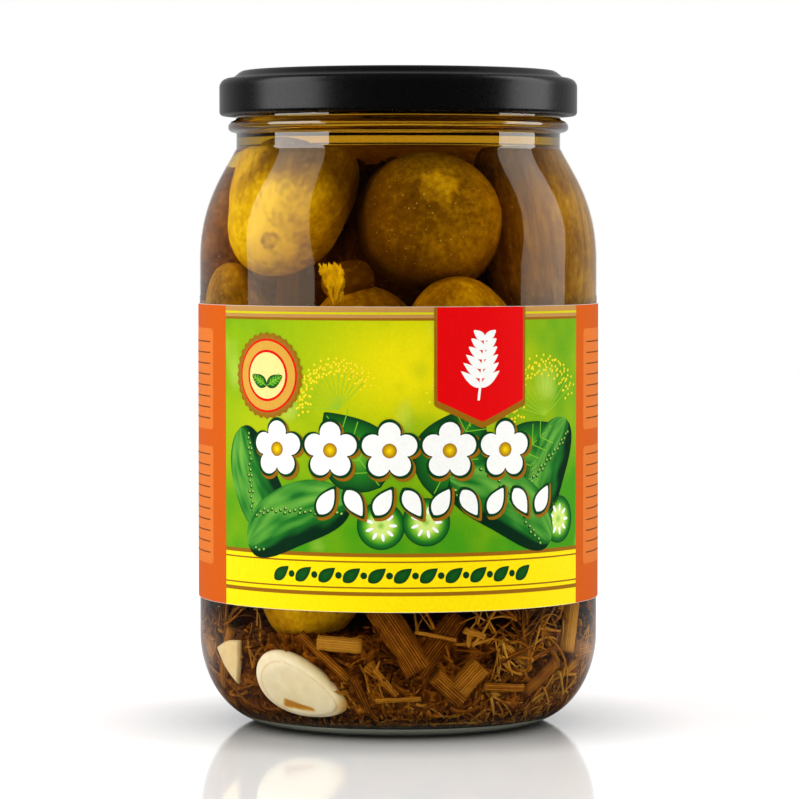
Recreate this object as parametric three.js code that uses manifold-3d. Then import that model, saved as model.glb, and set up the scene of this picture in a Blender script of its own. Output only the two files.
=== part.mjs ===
// A shut glass jar of pickled gherkins: a black twist-off lid, a paper label wrapped round the body,
// gherkins standing and lying in the jar, and a bed of dill stalks with garlic under them.
// Millimetres, +Z up. The origin is the centre of the foot, and the front of the label faces -Y.
// Heights are measured from a plane that lies FOOT_DEPTH above what the jar stands on.

import * as THREE from "three";
import { mergeVertices } from "three/addons/utils/BufferGeometryUtils.js";
import Module from "manifold-3d";

const wasm = await Module();
wasm.setup();

// Glass jar
const ROUND_SIDES = 48;
const BODY_RADIUS = 48;
const WALL = 2.5;
const FOOT_RADIUS = 31;
const FOOT_WIDTH = 4.5;
const FOOT_DEPTH = 1.5;
const PUSH_UP = 1.5;
const HEEL_HEIGHT = 20;
const FLOOR_EDGE_RADIUS = 33.5;
const FLOOR_EDGE_Z = 2.6;
const FLOOR_CENTRE_Z = 4.4;
const INNER_HEEL_TOP_Z = 21;
const HEEL_DEPTH = INNER_HEEL_TOP_Z - FLOOR_EDGE_Z;
const HEEL_REACH = BODY_RADIUS - WALL - FLOOR_EDGE_RADIUS;
const SHOULDER_LOW_Z = 110;
const SHOULDER_TOP_Z = 137;
const SHOULDER_RISE = 14;
const SHOULDER_FALL = 6;
const SHOULDER_LEAN = 0.51;
const NECK_RADIUS = 39.2;
const NECK_WALL = 2.7;
const BEAD_Z = 142.2;
const BEAD_RADIUS = 1.8;
const FINISH_LOW_Z = 144;
const RIM_Z = 153;
const RIM_ROUND = 1;

// Thread lugs on the neck, under the lid
const THREAD_COUNT = 4;
const THREAD_LOW_Z = 145.4;
const THREAD_RISE = 3.4;
const THREAD_SWEEP = THREE.MathUtils.degToRad(72);
const THREAD_START = THREE.MathUtils.degToRad(-82);
const THREAD_PROUD = 1.5;
const THREAD_HALF_WIDTH = 1.1;
const THREAD_STEPS = 6;

// Twist-off lid
const LID_RADIUS = 43.2;
const LID_LOW_Z = 144.8;
const LID_SHOULDER_Z = 153.8;
const LID_TOP_Z = 155.6;
const LID_SHEET = 0.6;
const LID_CORNER = 2.2;
const LID_CURL_RADIUS = 1;
const LID_RING_OUTER = 40.6;
const LID_RING_INNER = 34.5;
const LID_PANEL_DROP = 0.9;
const LID_BUTTON_RADIUS = 13;
const LID_BUTTON_DROP = 0.4;
const SEAL_GAP = 0.3;

// Paper label
const LABEL_LOW_Z = 29.1;
const LABEL_HIGH_Z = 99.7;
const LABEL_GAP = 0.25;
const LABEL_THICKNESS = 0.25;
const LABEL_OVERLAP = THREE.MathUtils.degToRad(12);
const LABEL_SIDES = 72;

// What the contents keep clear of the glass, and of each other
const WALL_CLEARANCE = 0.5;
const PIECE_CLEARANCE = 0.5;

// Gherkins: end points of the axis, largest radius, and how far the middle bows to one side
const GHERKIN_SIDES = 10;
const GHERKIN_RINGS = 8;
const GHERKIN_BLUNTNESS = 3.4;
const UPPER_GHERKINS = [
  { from: [6.7, -42, 122.3], to: [4.4, 12, 113], radius: 14.1, bow: 1 },
  { from: [-28.8, -31.5, 114.8], to: [-18.8, 4, 131.5], radius: 13.8, bow: 1 },
  { from: [32.5, -9, 91], to: [24, 0, 137], radius: 14.3, bow: 2 },
  { from: [-34, 14, 110], to: [10, 33, 118], radius: 13.5, bow: 3 },
  { from: [26, 28, 94], to: [16, 21, 128], radius: 13, bow: 1 },
  { from: [-18, 20, 125.5], to: [19, 21, 127], radius: 12.8, bow: 1 },
];
const LOWER_GHERKINS = [
  { from: [13.6, -28.5, 31], to: [12.4, -28.6, 106.4], radius: 14.5, bow: 1.2 },
  { from: [-7.2, -20, 32], to: [-7.8, -24, 104.6], radius: 14.2, bow: 1 },
  { from: [-19.5, -26.6, 20], to: [-19.5, -26, 96], radius: 13.8, bow: 1.2 },
  { from: [-30, 5, 34], to: [-35.2, -13, 109.4], radius: 11.8, bow: 1 },
  { from: [31, -3, 30], to: [31, -6, 92], radius: 13.8, bow: 0.5 },
  { from: [20, 25, 28], to: [19, 26, 101], radius: 13.6, bow: 2 },
  { from: [-15, 28, 30], to: [-13, 29, 103], radius: 13.4, bow: 2 },
];
// The core behind them: its radius at three heights, and how far back its axis stands
const GHERKIN_CORE = [
  { radius: 24, z: 34 },
  { radius: 24, z: 112 },
  { radius: 12, z: 130 },
];
const GHERKIN_CORE_BACK = 6;

// Bed of dill stalks: a core below this height, with stalks lying against the glass
const BED_TOP_Z = 22.5;
const BED_RISE = 3;
const BED_INSET = 3.2;
const STALK_SIDES = 6;
// Stalks by their angle round the jar from the front, height, slope, length and diameter
const NAMED_STALKS = [
  { angle: 0, z: 23.1, slope: -57, length: 18, diameter: 6.6 },
  { angle: 12.3, z: 21.5, slope: 53, length: 16, diameter: 5.4, sunk: 1 },
  { angle: 23, z: 12.4, slope: 50, length: 7.5, diameter: 5.4 },
  { angle: 64, z: 23.5, slope: 76, length: 12.5, diameter: 4.8 },
  { angle: -17.8, z: 21.2, slope: -3, length: 10.3, diameter: 3.4 },
  { angle: -23, z: 17.9, slope: -42, length: 15.5, diameter: 2.2 },
  { angle: -12, z: 8.8, slope: -74, length: 10, diameter: 2.2 },
  { angle: 16, z: 10.2, slope: -42, length: 9.5, diameter: 4 },
  { angle: 35, z: 10.2, slope: -5, length: 11, diameter: 1.9 },
  { angle: 50, z: 11.6, slope: 40, length: 10, diameter: 2.8 },
];
// The other stalks follow an even spread round the rest of the jar
const SPREAD_STALKS = 18;
const SPREAD_STEPS = [0.8191725, 0.6710436, 0.5497005, 0.4503];
const SPREAD_FIRST_ANGLE = 70;
const SPREAD_ANGLE_RANGE = 230;
const SPREAD_LOW_Z = 9.5;
const SPREAD_HIGH_Z = 24;
const SPREAD_SLOPE = 70;
const SPREAD_LENGTHS = [9, 17];
const SPREAD_DIAMETERS = [2.4, 6.4];

// Garlic: where it lies against the glass, its size, how far one end narrows and how far three corners jut
const CLOVE = {
  angle: -33,
  z: 9.5,
  inset: 3.4,
  slope: -22,
  length: 23.4,
  width: 14.2,
  thickness: 9,
  taper: 0.32,
  corners: 0,
};
const WEDGE = {
  angle: -61,
  z: 16,
  inset: 2.4,
  slope: 42,
  length: 9.9,
  width: 9.6,
  thickness: 5,
  taper: 0,
  corners: 0.5,
};
const GARLIC_SIDES = 14;
const GARLIC_RINGS = 12;
const GARLIC_FACE = 0.45;

const finish = (color, roughness, metalness = 0) =>
  new THREE.MeshStandardMaterial({ color, roughness, metalness });
const GLASS = new THREE.MeshStandardMaterial({
  color: 0xe4ebe0,
  roughness: 0.05,
  metalness: 0,
  transparent: true,
  opacity: 0.3,
});
const BLACK_LACQUER = finish(0x111111, 0.4, 0.1);
const LABEL_PAPER = finish(0xd8d81c, 0.45);
const GHERKIN_SKIN = finish(0x7c5a12, 0.4);
const DILL_STALK = finish(0x6e3d14, 0.7);
const GARLIC_FLESH = finish(0xe5d2ad, 0.5);

const point = (radius, z) => new THREE.Vector2(radius, z);

// Points of an ellipse's arc in the profile plane, between two angles in degrees
function arc(centreRadius, centreZ, halfWidth, halfHeight, fromDeg, toDeg, steps) {
  const points = [];
  for (let i = 0; i <= steps; i++) {
    const a = THREE.MathUtils.degToRad(fromDeg + ((toDeg - fromDeg) * i) / steps);
    points.push(point(centreRadius + halfWidth * Math.cos(a), centreZ + halfHeight * Math.sin(a)));
  }
  return points;
}

// A profile turned round the Z axis
function turned(profile, sides = ROUND_SIDES) {
  return new THREE.LatheGeometry(profile, sides).rotateX(Math.PI / 2);
}

// A closed geometry as a solid that can be joined and cut
function solidOf(geometry) {
  const bare = geometry.index ? geometry.toNonIndexed() : geometry.clone();
  bare.deleteAttribute("normal");
  bare.deleteAttribute("uv");
  const merged = mergeVertices(bare, 1e-4);
  return new wasm.Manifold(
    new wasm.Mesh({
      numProp: 3,
      vertProperties: merged.attributes.position.array,
      triVerts: new Uint32Array(merged.index.array),
    }),
  );
}

function geometryOf(solid) {
  const mesh = solid.getMesh();
  const geometry = new THREE.BufferGeometry();
  geometry.setAttribute("position", new THREE.BufferAttribute(mesh.vertProperties, 3));
  geometry.setIndex(new THREE.BufferAttribute(mesh.triVerts, 1));
  geometry.computeVertexNormals();
  return geometry;
}

// The main body of a joined heap, without sealed hollows and loose scraps
function mainBody(solid) {
  return solid.decompose().reduce((best, body) => (body.volume() > best.volume() ? body : best));
}

// The glass

function shoulderCurve(low, high, wall) {
  return new THREE.CubicBezierCurve(
    point(BODY_RADIUS - wall, low),
    point(BODY_RADIUS - wall, low + SHOULDER_RISE),
    point(NECK_RADIUS + SHOULDER_FALL * SHOULDER_LEAN - wall, high - SHOULDER_FALL),
    point(NECK_RADIUS - wall, high),
  );
}

function glassOutside() {
  const rimRadius = NECK_RADIUS - RIM_ROUND;
  return [
    point(0, PUSH_UP),
    point(FOOT_RADIUS - FOOT_WIDTH - 7, PUSH_UP * 0.7),
    point(FOOT_RADIUS - FOOT_WIDTH, -FOOT_DEPTH),
    ...arc(FOOT_RADIUS, HEEL_HEIGHT, BODY_RADIUS - FOOT_RADIUS, HEEL_HEIGHT + FOOT_DEPTH, -90, 0, 6),
    ...shoulderCurve(SHOULDER_LOW_Z, SHOULDER_TOP_Z, 0).getPoints(8),
    point(NECK_RADIUS, BEAD_Z - BEAD_RADIUS),
    ...arc(NECK_RADIUS + 0.2, BEAD_Z, BEAD_RADIUS, BEAD_RADIUS, -70, 70, 4),
    point(NECK_RADIUS, FINISH_LOW_Z),
    ...arc(rimRadius, RIM_Z - RIM_ROUND, RIM_ROUND, RIM_ROUND, 0, 90, 2),
  ];
}

// The inside of the glass, from the rim down to the floor, moved in by a clearance
function glassInside(inset = 0) {
  const neck = NECK_RADIUS - NECK_WALL - inset;
  return [
    ...arc(neck + RIM_ROUND, RIM_Z - RIM_ROUND, RIM_ROUND, RIM_ROUND, 90, 180, 2),
    ...shoulderCurve(SHOULDER_LOW_Z, SHOULDER_TOP_Z, WALL + inset).getPoints(6).reverse(),
    ...arc(FLOOR_EDGE_RADIUS, INNER_HEEL_TOP_Z, HEEL_REACH - inset, HEEL_DEPTH - inset, 0, -90, 5),
    point(0, FLOOR_CENTRE_Z + inset),
  ];
}

// The heel's inner curve is a quarter of an ellipse; this is how far down it a height is, from 0 to 1
function heelDrop(z) {
  return THREE.MathUtils.clamp((INNER_HEEL_TOP_Z - z) / HEEL_DEPTH, 0, 1);
}

// Inner radius of the glass at a height in the lower half of the jar
function innerRadius(z) {
  return FLOOR_EDGE_RADIUS + HEEL_REACH * Math.sqrt(1 - heelDrop(z) ** 2);
}

// How far the inner wall leans out from upright at a height
function wallLean(z) {
  const drop = heelDrop(z);
  return Math.atan2(HEEL_REACH * drop, HEEL_DEPTH * Math.sqrt(1 - drop * drop));
}

// One helical lug, seated a little way into the neck
class ThreadCurve extends THREE.Curve {
  constructor(start) {
    super();
    this.start = start;
  }
  getPoint(t, target = new THREE.Vector3()) {
    const angle = this.start + THREAD_SWEEP * t;
    const radius = NECK_RADIUS - 0.3;
    const z = THREAD_LOW_Z + THREAD_HALF_WIDTH + THREAD_RISE * t;
    return target.set(radius * Math.sin(angle), -radius * Math.cos(angle), z);
  }
}

// The section's x runs up the jar and its y out from the neck
function threadLug(index) {
  const section = new THREE.Shape();
  section.absellipse(0, 0, THREAD_HALF_WIDTH, THREAD_PROUD + 0.3, 0, 2 * Math.PI);
  const curve = new ThreadCurve(THREAD_START + (index * 2 * Math.PI) / THREAD_COUNT);
  return new THREE.ExtrudeGeometry(section, {
    steps: THREAD_STEPS,
    curveSegments: 3,
    extrudePath: curve,
  });
}

function glass() {
  let jar = solidOf(turned([...glassOutside(), ...glassInside()]));
  for (let i = 0; i < THREAD_COUNT; i++) jar = jar.add(solidOf(threadLug(i)));
  return geometryOf(mainBody(jar));
}

// The lid

function lid() {
  const skirtInner = LID_RADIUS - LID_SHEET;
  const underside = RIM_Z + SEAL_GAP;
  const panel = LID_TOP_Z - LID_PANEL_DROP;
  const curl = LID_RADIUS - LID_CURL_RADIUS;
  const cornerRadius = LID_RADIUS - LID_CORNER;
  return turned([
    point(0, underside),
    point(cornerRadius - 0.6, underside),
    ...arc(cornerRadius, LID_SHOULDER_Z - LID_CORNER, skirtInner - cornerRadius, 1.6, 90, 0, 2),
    point(skirtInner, LID_LOW_Z + 2.6),
    ...arc(curl, LID_LOW_Z + LID_CURL_RADIUS, LID_CURL_RADIUS, LID_CURL_RADIUS, 120, 360, 5),
    ...arc(cornerRadius, LID_SHOULDER_Z - LID_CORNER, LID_CORNER, LID_CORNER, 0, 80, 3),
    point(LID_RING_OUTER + 0.2, LID_SHOULDER_Z),
    ...arc(LID_RING_OUTER - 1.4, LID_TOP_Z - 1.2, 1.4, 1.2, 0, 90, 2),
    ...arc(LID_RING_INNER + 1.6, LID_TOP_Z - LID_PANEL_DROP, 1.6, LID_PANEL_DROP, 90, 180, 2),
    point(LID_BUTTON_RADIUS, panel),
    point(LID_BUTTON_RADIUS - 1.5, panel - LID_BUTTON_DROP),
    point(0, panel - LID_BUTTON_DROP),
  ]);
}

// The label: a band round the body whose ends overlap at the back

function label() {
  const inner = BODY_RADIUS + LABEL_GAP;
  const outer = inner + LABEL_THICKNESS;
  const back = Math.PI / 2;
  const lapStart = back - LABEL_OVERLAP / 2;
  const lapEnd = back + LABEL_OVERLAP / 2;
  const lapSides = Math.ceil((LABEL_SIDES * LABEL_OVERLAP) / (2 * Math.PI));
  const outline = [];
  const addArc = (radius, from, to, sides) => {
    for (let i = 0; i <= sides; i++) {
      const a = from + ((to - from) * i) / sides;
      outline.push(new THREE.Vector2(radius * Math.cos(a), radius * Math.sin(a)));
    }
  };
  addArc(outer, lapEnd, lapStart + 2 * Math.PI, LABEL_SIDES);
  addArc(outer + LABEL_THICKNESS, lapStart, lapEnd, lapSides);
  const band = new THREE.Shape(outline);
  band.holes.push(new THREE.Path().absarc(0, 0, inner, 0, 2 * Math.PI, true));
  return new THREE.ExtrudeGeometry(band, {
    depth: LABEL_HIGH_Z - LABEL_LOW_Z,
    bevelEnabled: false,
    curveSegments: LABEL_SIDES / 2,
  }).translate(0, 0, LABEL_LOW_Z);
}

// The gherkins

// One gherkin along its own axis, with blunt ends and a bowed middle; grow widens it all round
function gherkin({ from, to, radius, bow }, grow = 0) {
  const start = new THREE.Vector3(...from);
  const end = new THREE.Vector3(...to);
  const axis = end.clone().sub(start);
  const length = axis.length() + 2 * grow;
  const profile = [];
  for (let i = 0; i <= GHERKIN_RINGS; i++) {
    const along = (1 - Math.cos((Math.PI * i) / GHERKIN_RINGS)) / 2;
    const fromMiddle = Math.abs(2 * along - 1);
    const r = i % GHERKIN_RINGS ? Math.sqrt(1 - Math.pow(fromMiddle, GHERKIN_BLUNTNESS)) : 0;
    profile.push(point((radius + grow) * r, (along - 0.5) * length));
  }
  const body = turned(profile, GHERKIN_SIDES);
  const places = body.getAttribute("position");
  for (let i = 0; i < places.count; i++) {
    const share = (2 * places.getZ(i)) / length;
    places.setX(i, places.getX(i) + bow * (1 - share * share));
  }
  const upright = new THREE.Vector3(0, 0, 1);
  body.applyQuaternion(new THREE.Quaternion().setFromUnitVectors(upright, axis.normalize()));
  const middle = start.add(end).multiplyScalar(0.5);
  return solidOf(body.translate(middle.x, middle.y, middle.z));
}

function cavity() {
  return solidOf(turned([point(0, RIM_Z), ...glassInside(WALL_CLEARANCE)].reverse()));
}

function gherkinHeap() {
  const core = GHERKIN_CORE.map(({ radius, z }) => point(radius, z));
  core.unshift(point(0, core[0].y));
  core.push(point(0, core.at(-1).y));
  let heap = solidOf(turned(core, GHERKIN_SIDES * 2).translate(0, GHERKIN_CORE_BACK, 0));
  for (const one of [...LOWER_GHERKINS, ...UPPER_GHERKINS]) heap = heap.add(gherkin(one));
  return geometryOf(mainBody(heap.intersect(cavity())));
}

// The garlic and the dill bed lie against the glass

// Where something lies on the inner wall: x runs round the jar, y up the wall and z out through it
function wallFrame(angleDeg, z, inset, slopeDeg) {
  const angle = THREE.MathUtils.degToRad(angleDeg);
  const radius = innerRadius(z);
  const outward = new THREE.Vector3(Math.sin(angle), -Math.cos(angle), 0);
  const along = new THREE.Vector3(Math.cos(angle), Math.sin(angle), 0);
  const frame = new THREE.Matrix4().makeBasis(along, new THREE.Vector3(0, 0, 1), outward);
  frame.setPosition(outward.x * radius, outward.y * radius, z);
  const lean = new THREE.Matrix4().makeRotationX(wallLean(z));
  const inward = new THREE.Matrix4().makeTranslation(0, 0, -inset);
  const slope = new THREE.Matrix4().makeRotationZ(THREE.MathUtils.degToRad(slopeDeg));
  return frame.multiply(lean).multiply(inward).multiply(slope);
}

// How far a triangle reaches at an angle, from 1 at the middle of a side to 2 at a corner
function triangleReach(angle) {
  const third = (2 * Math.PI) / 3;
  return 1 / Math.cos(THREE.MathUtils.euclideanModulo(angle, third) - third / 2);
}

// A garlic piece: an egg along x, or a fin with three corners, with the side next to the glass cut flat
// at a share of its depth
function garlic(piece, flat = GARLIC_FACE, grow = 0) {
  const ball = new THREE.SphereGeometry(1, GARLIC_SIDES, GARLIC_RINGS);
  const places = ball.getAttribute("position");
  for (let i = 0; i < places.count; i++) {
    const x = places.getX(i);
    const y = places.getY(i);
    const z = Math.min(places.getZ(i), flat);
    const spread = 1 + piece.corners * (triangleReach(Math.atan2(y, x)) - 1.5);
    places.setXYZ(
      i,
      x * spread * (piece.length / 2 + grow),
      y * spread * (piece.width / 2 + grow) * (1 - piece.taper * x),
      z * (piece.thickness / 2 + grow),
    );
  }
  const frame = wallFrame(piece.angle, piece.z, piece.inset, piece.slope);
  return solidOf(ball.applyMatrix4(frame));
}

// A stalk as deep in the wall's curves as its length needs
function stalk({ angle, z, slope, length, diameter, sunk = 0 }) {
  const steepness = THREE.MathUtils.degToRad(slope);
  const roundWall = Math.cos(steepness) ** 2 / innerRadius(z);
  const upHeel = z < INNER_HEEL_TOP_Z ? (2 * Math.sin(steepness) ** 2) / (HEEL_REACH + HEEL_DEPTH) : 0;
  const sagitta = (length * length * (roundWall + upHeel)) / 8;
  const inset = diameter / 2 + WALL_CLEARANCE + 0.1 + sagitta + sunk;
  const rod = new THREE.CylinderGeometry(diameter / 2, diameter / 2, length, STALK_SIDES);
  rod.rotateZ(Math.PI / 2);
  return solidOf(rod.applyMatrix4(wallFrame(angle, z, inset, slope)));
}

const between = ([low, high], share) => low + (high - low) * share;

// An even spread: each step is an irrational share of the range, so places never repeat
function spreadStalk(index) {
  const share = SPREAD_STEPS.map((step) => (0.5 + index * step) % 1);
  return {
    angle: SPREAD_FIRST_ANGLE + (SPREAD_ANGLE_RANGE * (index + 0.5)) / SPREAD_STALKS,
    z: between([SPREAD_LOW_Z, SPREAD_HIGH_Z], share[0]),
    slope: between([-SPREAD_SLOPE, SPREAD_SLOPE], share[1]),
    length: between(SPREAD_LENGTHS, share[2]),
    diameter: between(SPREAD_DIAMETERS, share[3]),
  };
}

function dillBed() {
  const core = [point(0, FLOOR_CENTRE_Z + 1)];
  const heights = [FLOOR_CENTRE_Z + 1, 9, 12, 16, BED_TOP_Z];
  for (const z of heights) core.push(point(innerRadius(z) - BED_INSET, z));
  core.push(point(0, BED_TOP_Z + BED_RISE));
  let bed = solidOf(turned(core, ROUND_SIDES / 2));
  const stalks = [...NAMED_STALKS];
  for (let i = 0; i < SPREAD_STALKS; i++) stalks.push(spreadStalk(i));
  for (const one of stalks) bed = bed.add(stalk(one));
  bed = bed.intersect(cavity());
  for (const one of [...LOWER_GHERKINS, ...UPPER_GHERKINS]) {
    bed = bed.subtract(gherkin(one, PIECE_CLEARANCE));
  }
  for (const piece of [CLOVE, WEDGE]) bed = bed.subtract(garlic(piece, 1, PIECE_CLEARANCE));
  return geometryOf(mainBody(bed));
}

const garlicPiece = (piece) => geometryOf(mainBody(garlic(piece).intersect(cavity())));

const jar = new THREE.Group();
const add = (name, geometry, material) => {
  const mesh = new THREE.Mesh(geometry.translate(0, 0, FOOT_DEPTH), material);
  mesh.name = name;
  jar.add(mesh);
};
add("jar_glass", glass(), GLASS);
add("lid", lid(), BLACK_LACQUER);
add("label", label(), LABEL_PAPER);
add("gherkins", gherkinHeap(), GHERKIN_SKIN);
add("dill_bed", dillBed(), DILL_STALK);
add("garlic_clove", garlicPiece(CLOVE), GARLIC_FLESH);
add("garlic_wedge", garlicPiece(WEDGE), GARLIC_FLESH);

export default jar;
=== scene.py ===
"""Looks of a shut jar of gherkins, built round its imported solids.

Shapes are worked out in millimetres in the solids' own frame: +Z up, the front of the label facing -Y,
and angles measured round the jar from the front towards +X. As in the solids, heights are measured from a
plane that lies FOOT_DEPTH above what the jar stands on. Meshes are written in metres.
"""

import math

import bpy
import numpy as np
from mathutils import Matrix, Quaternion, Vector, noise


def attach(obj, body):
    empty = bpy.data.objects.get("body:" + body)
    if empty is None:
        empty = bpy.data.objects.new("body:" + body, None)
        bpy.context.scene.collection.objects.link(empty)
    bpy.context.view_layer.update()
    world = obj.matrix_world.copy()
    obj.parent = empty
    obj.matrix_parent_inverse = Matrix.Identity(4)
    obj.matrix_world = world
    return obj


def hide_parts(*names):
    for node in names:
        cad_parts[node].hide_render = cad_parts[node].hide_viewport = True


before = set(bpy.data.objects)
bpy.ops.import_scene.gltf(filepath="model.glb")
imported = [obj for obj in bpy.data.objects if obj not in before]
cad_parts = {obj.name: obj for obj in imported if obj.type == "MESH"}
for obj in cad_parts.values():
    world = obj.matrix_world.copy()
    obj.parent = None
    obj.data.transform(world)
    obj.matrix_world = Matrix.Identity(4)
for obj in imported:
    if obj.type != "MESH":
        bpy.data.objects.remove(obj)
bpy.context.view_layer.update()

MM = 0.001
SIDES = 240

# Glass, as in the solids
BODY_RADIUS = 48.0
WALL = 2.5
FOOT_RADIUS = 31.0
FOOT_WIDTH = 4.5
FOOT_DEPTH = 1.5
PUSH_UP = 1.5
DOME_EDGE = 7.0
DOME_FALL = 0.3
HEEL_HEIGHT = 20.0
FLOOR_EDGE_RADIUS = 33.5
FLOOR_EDGE_Z = 2.6
FLOOR_CENTRE_Z = 4.4
INNER_HEEL_TOP_Z = 21.0
HEEL_DEPTH = INNER_HEEL_TOP_Z - FLOOR_EDGE_Z
HEEL_REACH = BODY_RADIUS - WALL - FLOOR_EDGE_RADIUS
SHOULDER_LOW_Z = 110.0
SHOULDER_TOP_Z = 137.0
SHOULDER_RISE = 14.0
SHOULDER_FALL = 6.0
SHOULDER_LEAN = 0.51
NECK_RADIUS = 39.2
NECK_WALL = 2.7
BEAD_Z = 142.2
BEAD_REACH = 1.8
# The bead is slimmer than the solid's, as in the photograph
BEAD_HALF_HEIGHT = 1.45
FINISH_LOW_Z = 144.0
RIM_Z = 153.0
RIM_ROUND = 1.0
LUG_COUNT = 4
LUG_LOW_Z = 145.4
LUG_RISE = 3.4
LUG_SWEEP = math.radians(72)
LUG_START = math.radians(-82)
LUG_PROUD = 1.5
LUG_HALF_WIDTH = 1.1

# Looks of the glass: its foot lets less light by, and its neck shines more
GLASS_IOR = 1.5
GLASS_TINT = (0.975, 1.0, 0.975)
GLASS_SHINE = (1.0, 0.86, 0.62)
NO_SHINE = (0, 0, 0)
NO_TINT = (1, 1, 1)
FOOT_SHADE_Z = 0.8
FOOT_TINT = (0.88, 0.96, 0.76)
FOOT_PASSED = (0.3, 0.32, 0.26)
FOOT_CLEARNESS = {"Transmission Weight": 0.55}
NECK_COAT = {"Coat Weight": 1.0, "Coat IOR": 2.0, "Coat Roughness": 0.0}
NECK_SHINE_Z = SHOULDER_TOP_Z - 0.5
# Painted shade: the brine side of the neck is tinted darker, so what shows through the neck looks shaded
NECK_PAINTED_SHADE_TINT = (0.75, 0.65, 0.55)
CLEAR, WET, FOOT, NECK, WET_NECK = range(5)

# Brine
BRINE_TOP_Z = 147.5
BRINE_INTO_WALL = 0.08
BRINE_IOR = 1.335
BRINE_COLOUR = (0.96, 0.875, 0.4)
BRINE_DENSITY = 100.0

# Lid
LID_RADIUS = 43.2
LID_LOW_Z = 144.8
LID_SHOULDER_Z = 153.8
LID_TOP_Z = 155.6
LID_SHEET = 0.6
LID_CORNER = 2.2
LID_CURL_RADIUS = 1.0
LID_SKIRT_LOW_Z = 146.4
LID_SKIRT_TOP_Z = 151.0
LID_RING_OUTER = 40.6
LID_RING_INNER = 34.5
LID_RING_FLAT = (36.9, 36.5)
LID_RING_ROUND = 1.6
# The ring's outer slope is gentler than the solid's, as in the photograph
LID_RING_SLOPE = 3.2
LID_PANEL_DROP = 0.9
LID_BUTTON_RADIUS = 13.0
LID_BUTTON_DROP = 0.4
SEAL_GAP = 0.3
LACQUER = (0.001, 0.001, 0.001, 1)

# Label
LABEL_LOW_Z = 29.1
LABEL_HIGH_Z = 99.7
LABEL_INNER = 48.1
LABEL_OUTER = 48.35
LABEL_OVERLAP = math.radians(12)
SEAM_LAYER = 6
SEAM_EDGE = 0.25
PRINT_STEP = 0.015
PRINT_PROUD = 0.01
PRINT_COLUMN = 0.8
PRINT_ROW = 1.5

# Gherkins
GHERKIN_RINGS = 84
GHERKIN_SIDES = 64
GHERKIN_BLUNTNESS = 3.4
GHERKIN_LOBES = 0.02
SKIN_APART = 211.0
# As in the solids: ends of the axis, largest radius and bow; then how light the skin is, set gherkin
# by gherkin partly as painted light and shade; and how much lighter it grows towards +X, as painted side
# light
GHERKINS = [
    ((6.7, -42, 122.3), (4.4, 12, 113), 14.1, 1.0, 0.34, 0.19),
    ((-28.8, -31.5, 114.8), (-18.8, 4, 131.5), 13.8, 1.0, 0.8, -0.14),
    ((32.5, -9, 91), (24, 0, 137), 14.3, 2.0, 0.55, 0.1),
    ((-34, 14, 110), (10, 33, 118), 13.5, 3.0, 0.55, 0),
    ((26, 28, 94), (16, 21, 128), 13.0, 1.0, 0.6, 0),
    ((-18, 20, 125.5), (19, 21, 127), 12.8, 1.0, 0.9, 0),
    ((13.6, -28.5, 31), (12.4, -28.6, 106.4), 14.5, 1.2, 0.62, 0),
    ((-7.2, -20, 32), (-7.8, -24, 104.6), 14.2, 1.0, 0.68, 0),
    ((-19.5, -26.6, 20), (-19.5, -26, 96), 13.8, 1.2, 0.86, 0.05),
    ((-30, 5, 34), (-35.2, -13, 109.4), 11.8, 1.0, 0.64, -0.08),
    ((31, -3, 30), (31, -6, 92), 13.8, 0.5, 0.5, 0),
    ((20, 25, 28), (19, 26, 101), 13.6, 2.0, 0.55, 0),
    ((-15, 28, 30), (-13, 29, 103), 13.4, 2.0, 0.5, 0),
]
# Scars and blotches on the skin: place, size, how light they are, and how softly they fade
SCARS = [
    ((9.4, -40, 127.2), 4.6, 0.26, 0.3),
    ((9.2, -38, 104.6), 1.3, 0.3, 0.3),
    ((5.5, -36, 133.5), 8, 0.1, 0.8),
    ((3, -42, 119.5), 6.5, -0.1, 0.9),
    ((7, -39, 110.5), 6, 0.1, 0.9),
    ((-28.8, -31.5, 114.8), 2.2, -0.3, 0.3),
    ((-26, -33, 120), 10, 0.17, 0.9),
    ((-27, -25, 135), 8, -0.25, 0.8),
]
SCAR_REACH = 1.6
# A torn scrap of skin between the gherkins, and the stub that it hangs from
SCRAP_AT = (-14.9, -36, 105.2)
SCRAP_SIZE = (6.2, 8.6)
STUB = ((-15, -27.5, 104.5), (-6, -22, 106.5), 4.6, 0.4, 0.4, -0.15)
# A lumpy core behind the gherkins, whose dark colour is painted shade
GHERKIN_CORE = [(0, 34), (21, 34), (21, 108), (10, 126), (0, 126)]
GHERKIN_CORE_BACK = 8.0
CORE_PAINTED_SHADE = 0.25
SCRAP_TONE = 1.0
# Patterns in the skin: how close along three axes, how detailed and how strong
SKIN_PATTERNS = [
    ((0.085, 0.085, 0.07), 2.0, 0.75),
    ((0.5, 0.5, 0.045), 3.0, 0.5),
    ((0.9, 0.9, 0.6), 5.0, 0.5),
]
SKIN_COLOURS = [
    (0.0, (0.045, 0.0135, 0.0003)),
    (0.35, (0.125, 0.046, 0.0008)),
    (0.6, (0.28, 0.122, 0.0015)),
    (0.8, (0.48, 0.240, 0.002)),
    (1.0, (0.72, 0.41, 0.004)),
]
SPECK_COLOUR = (0.62, 0.40, 0.10, 1)
SHEEN = {"Sheen Weight": 0.2, "Sheen Roughness": 0.5, "Sheen Tint": (0.8, 0.42, 0.01, 1)}
CONTENT_GAP = 0.35

# Dill bed
BED_TOP_Z = 22.5
BED_RISE = 3.0
BED_INSET = 5.0
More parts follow.
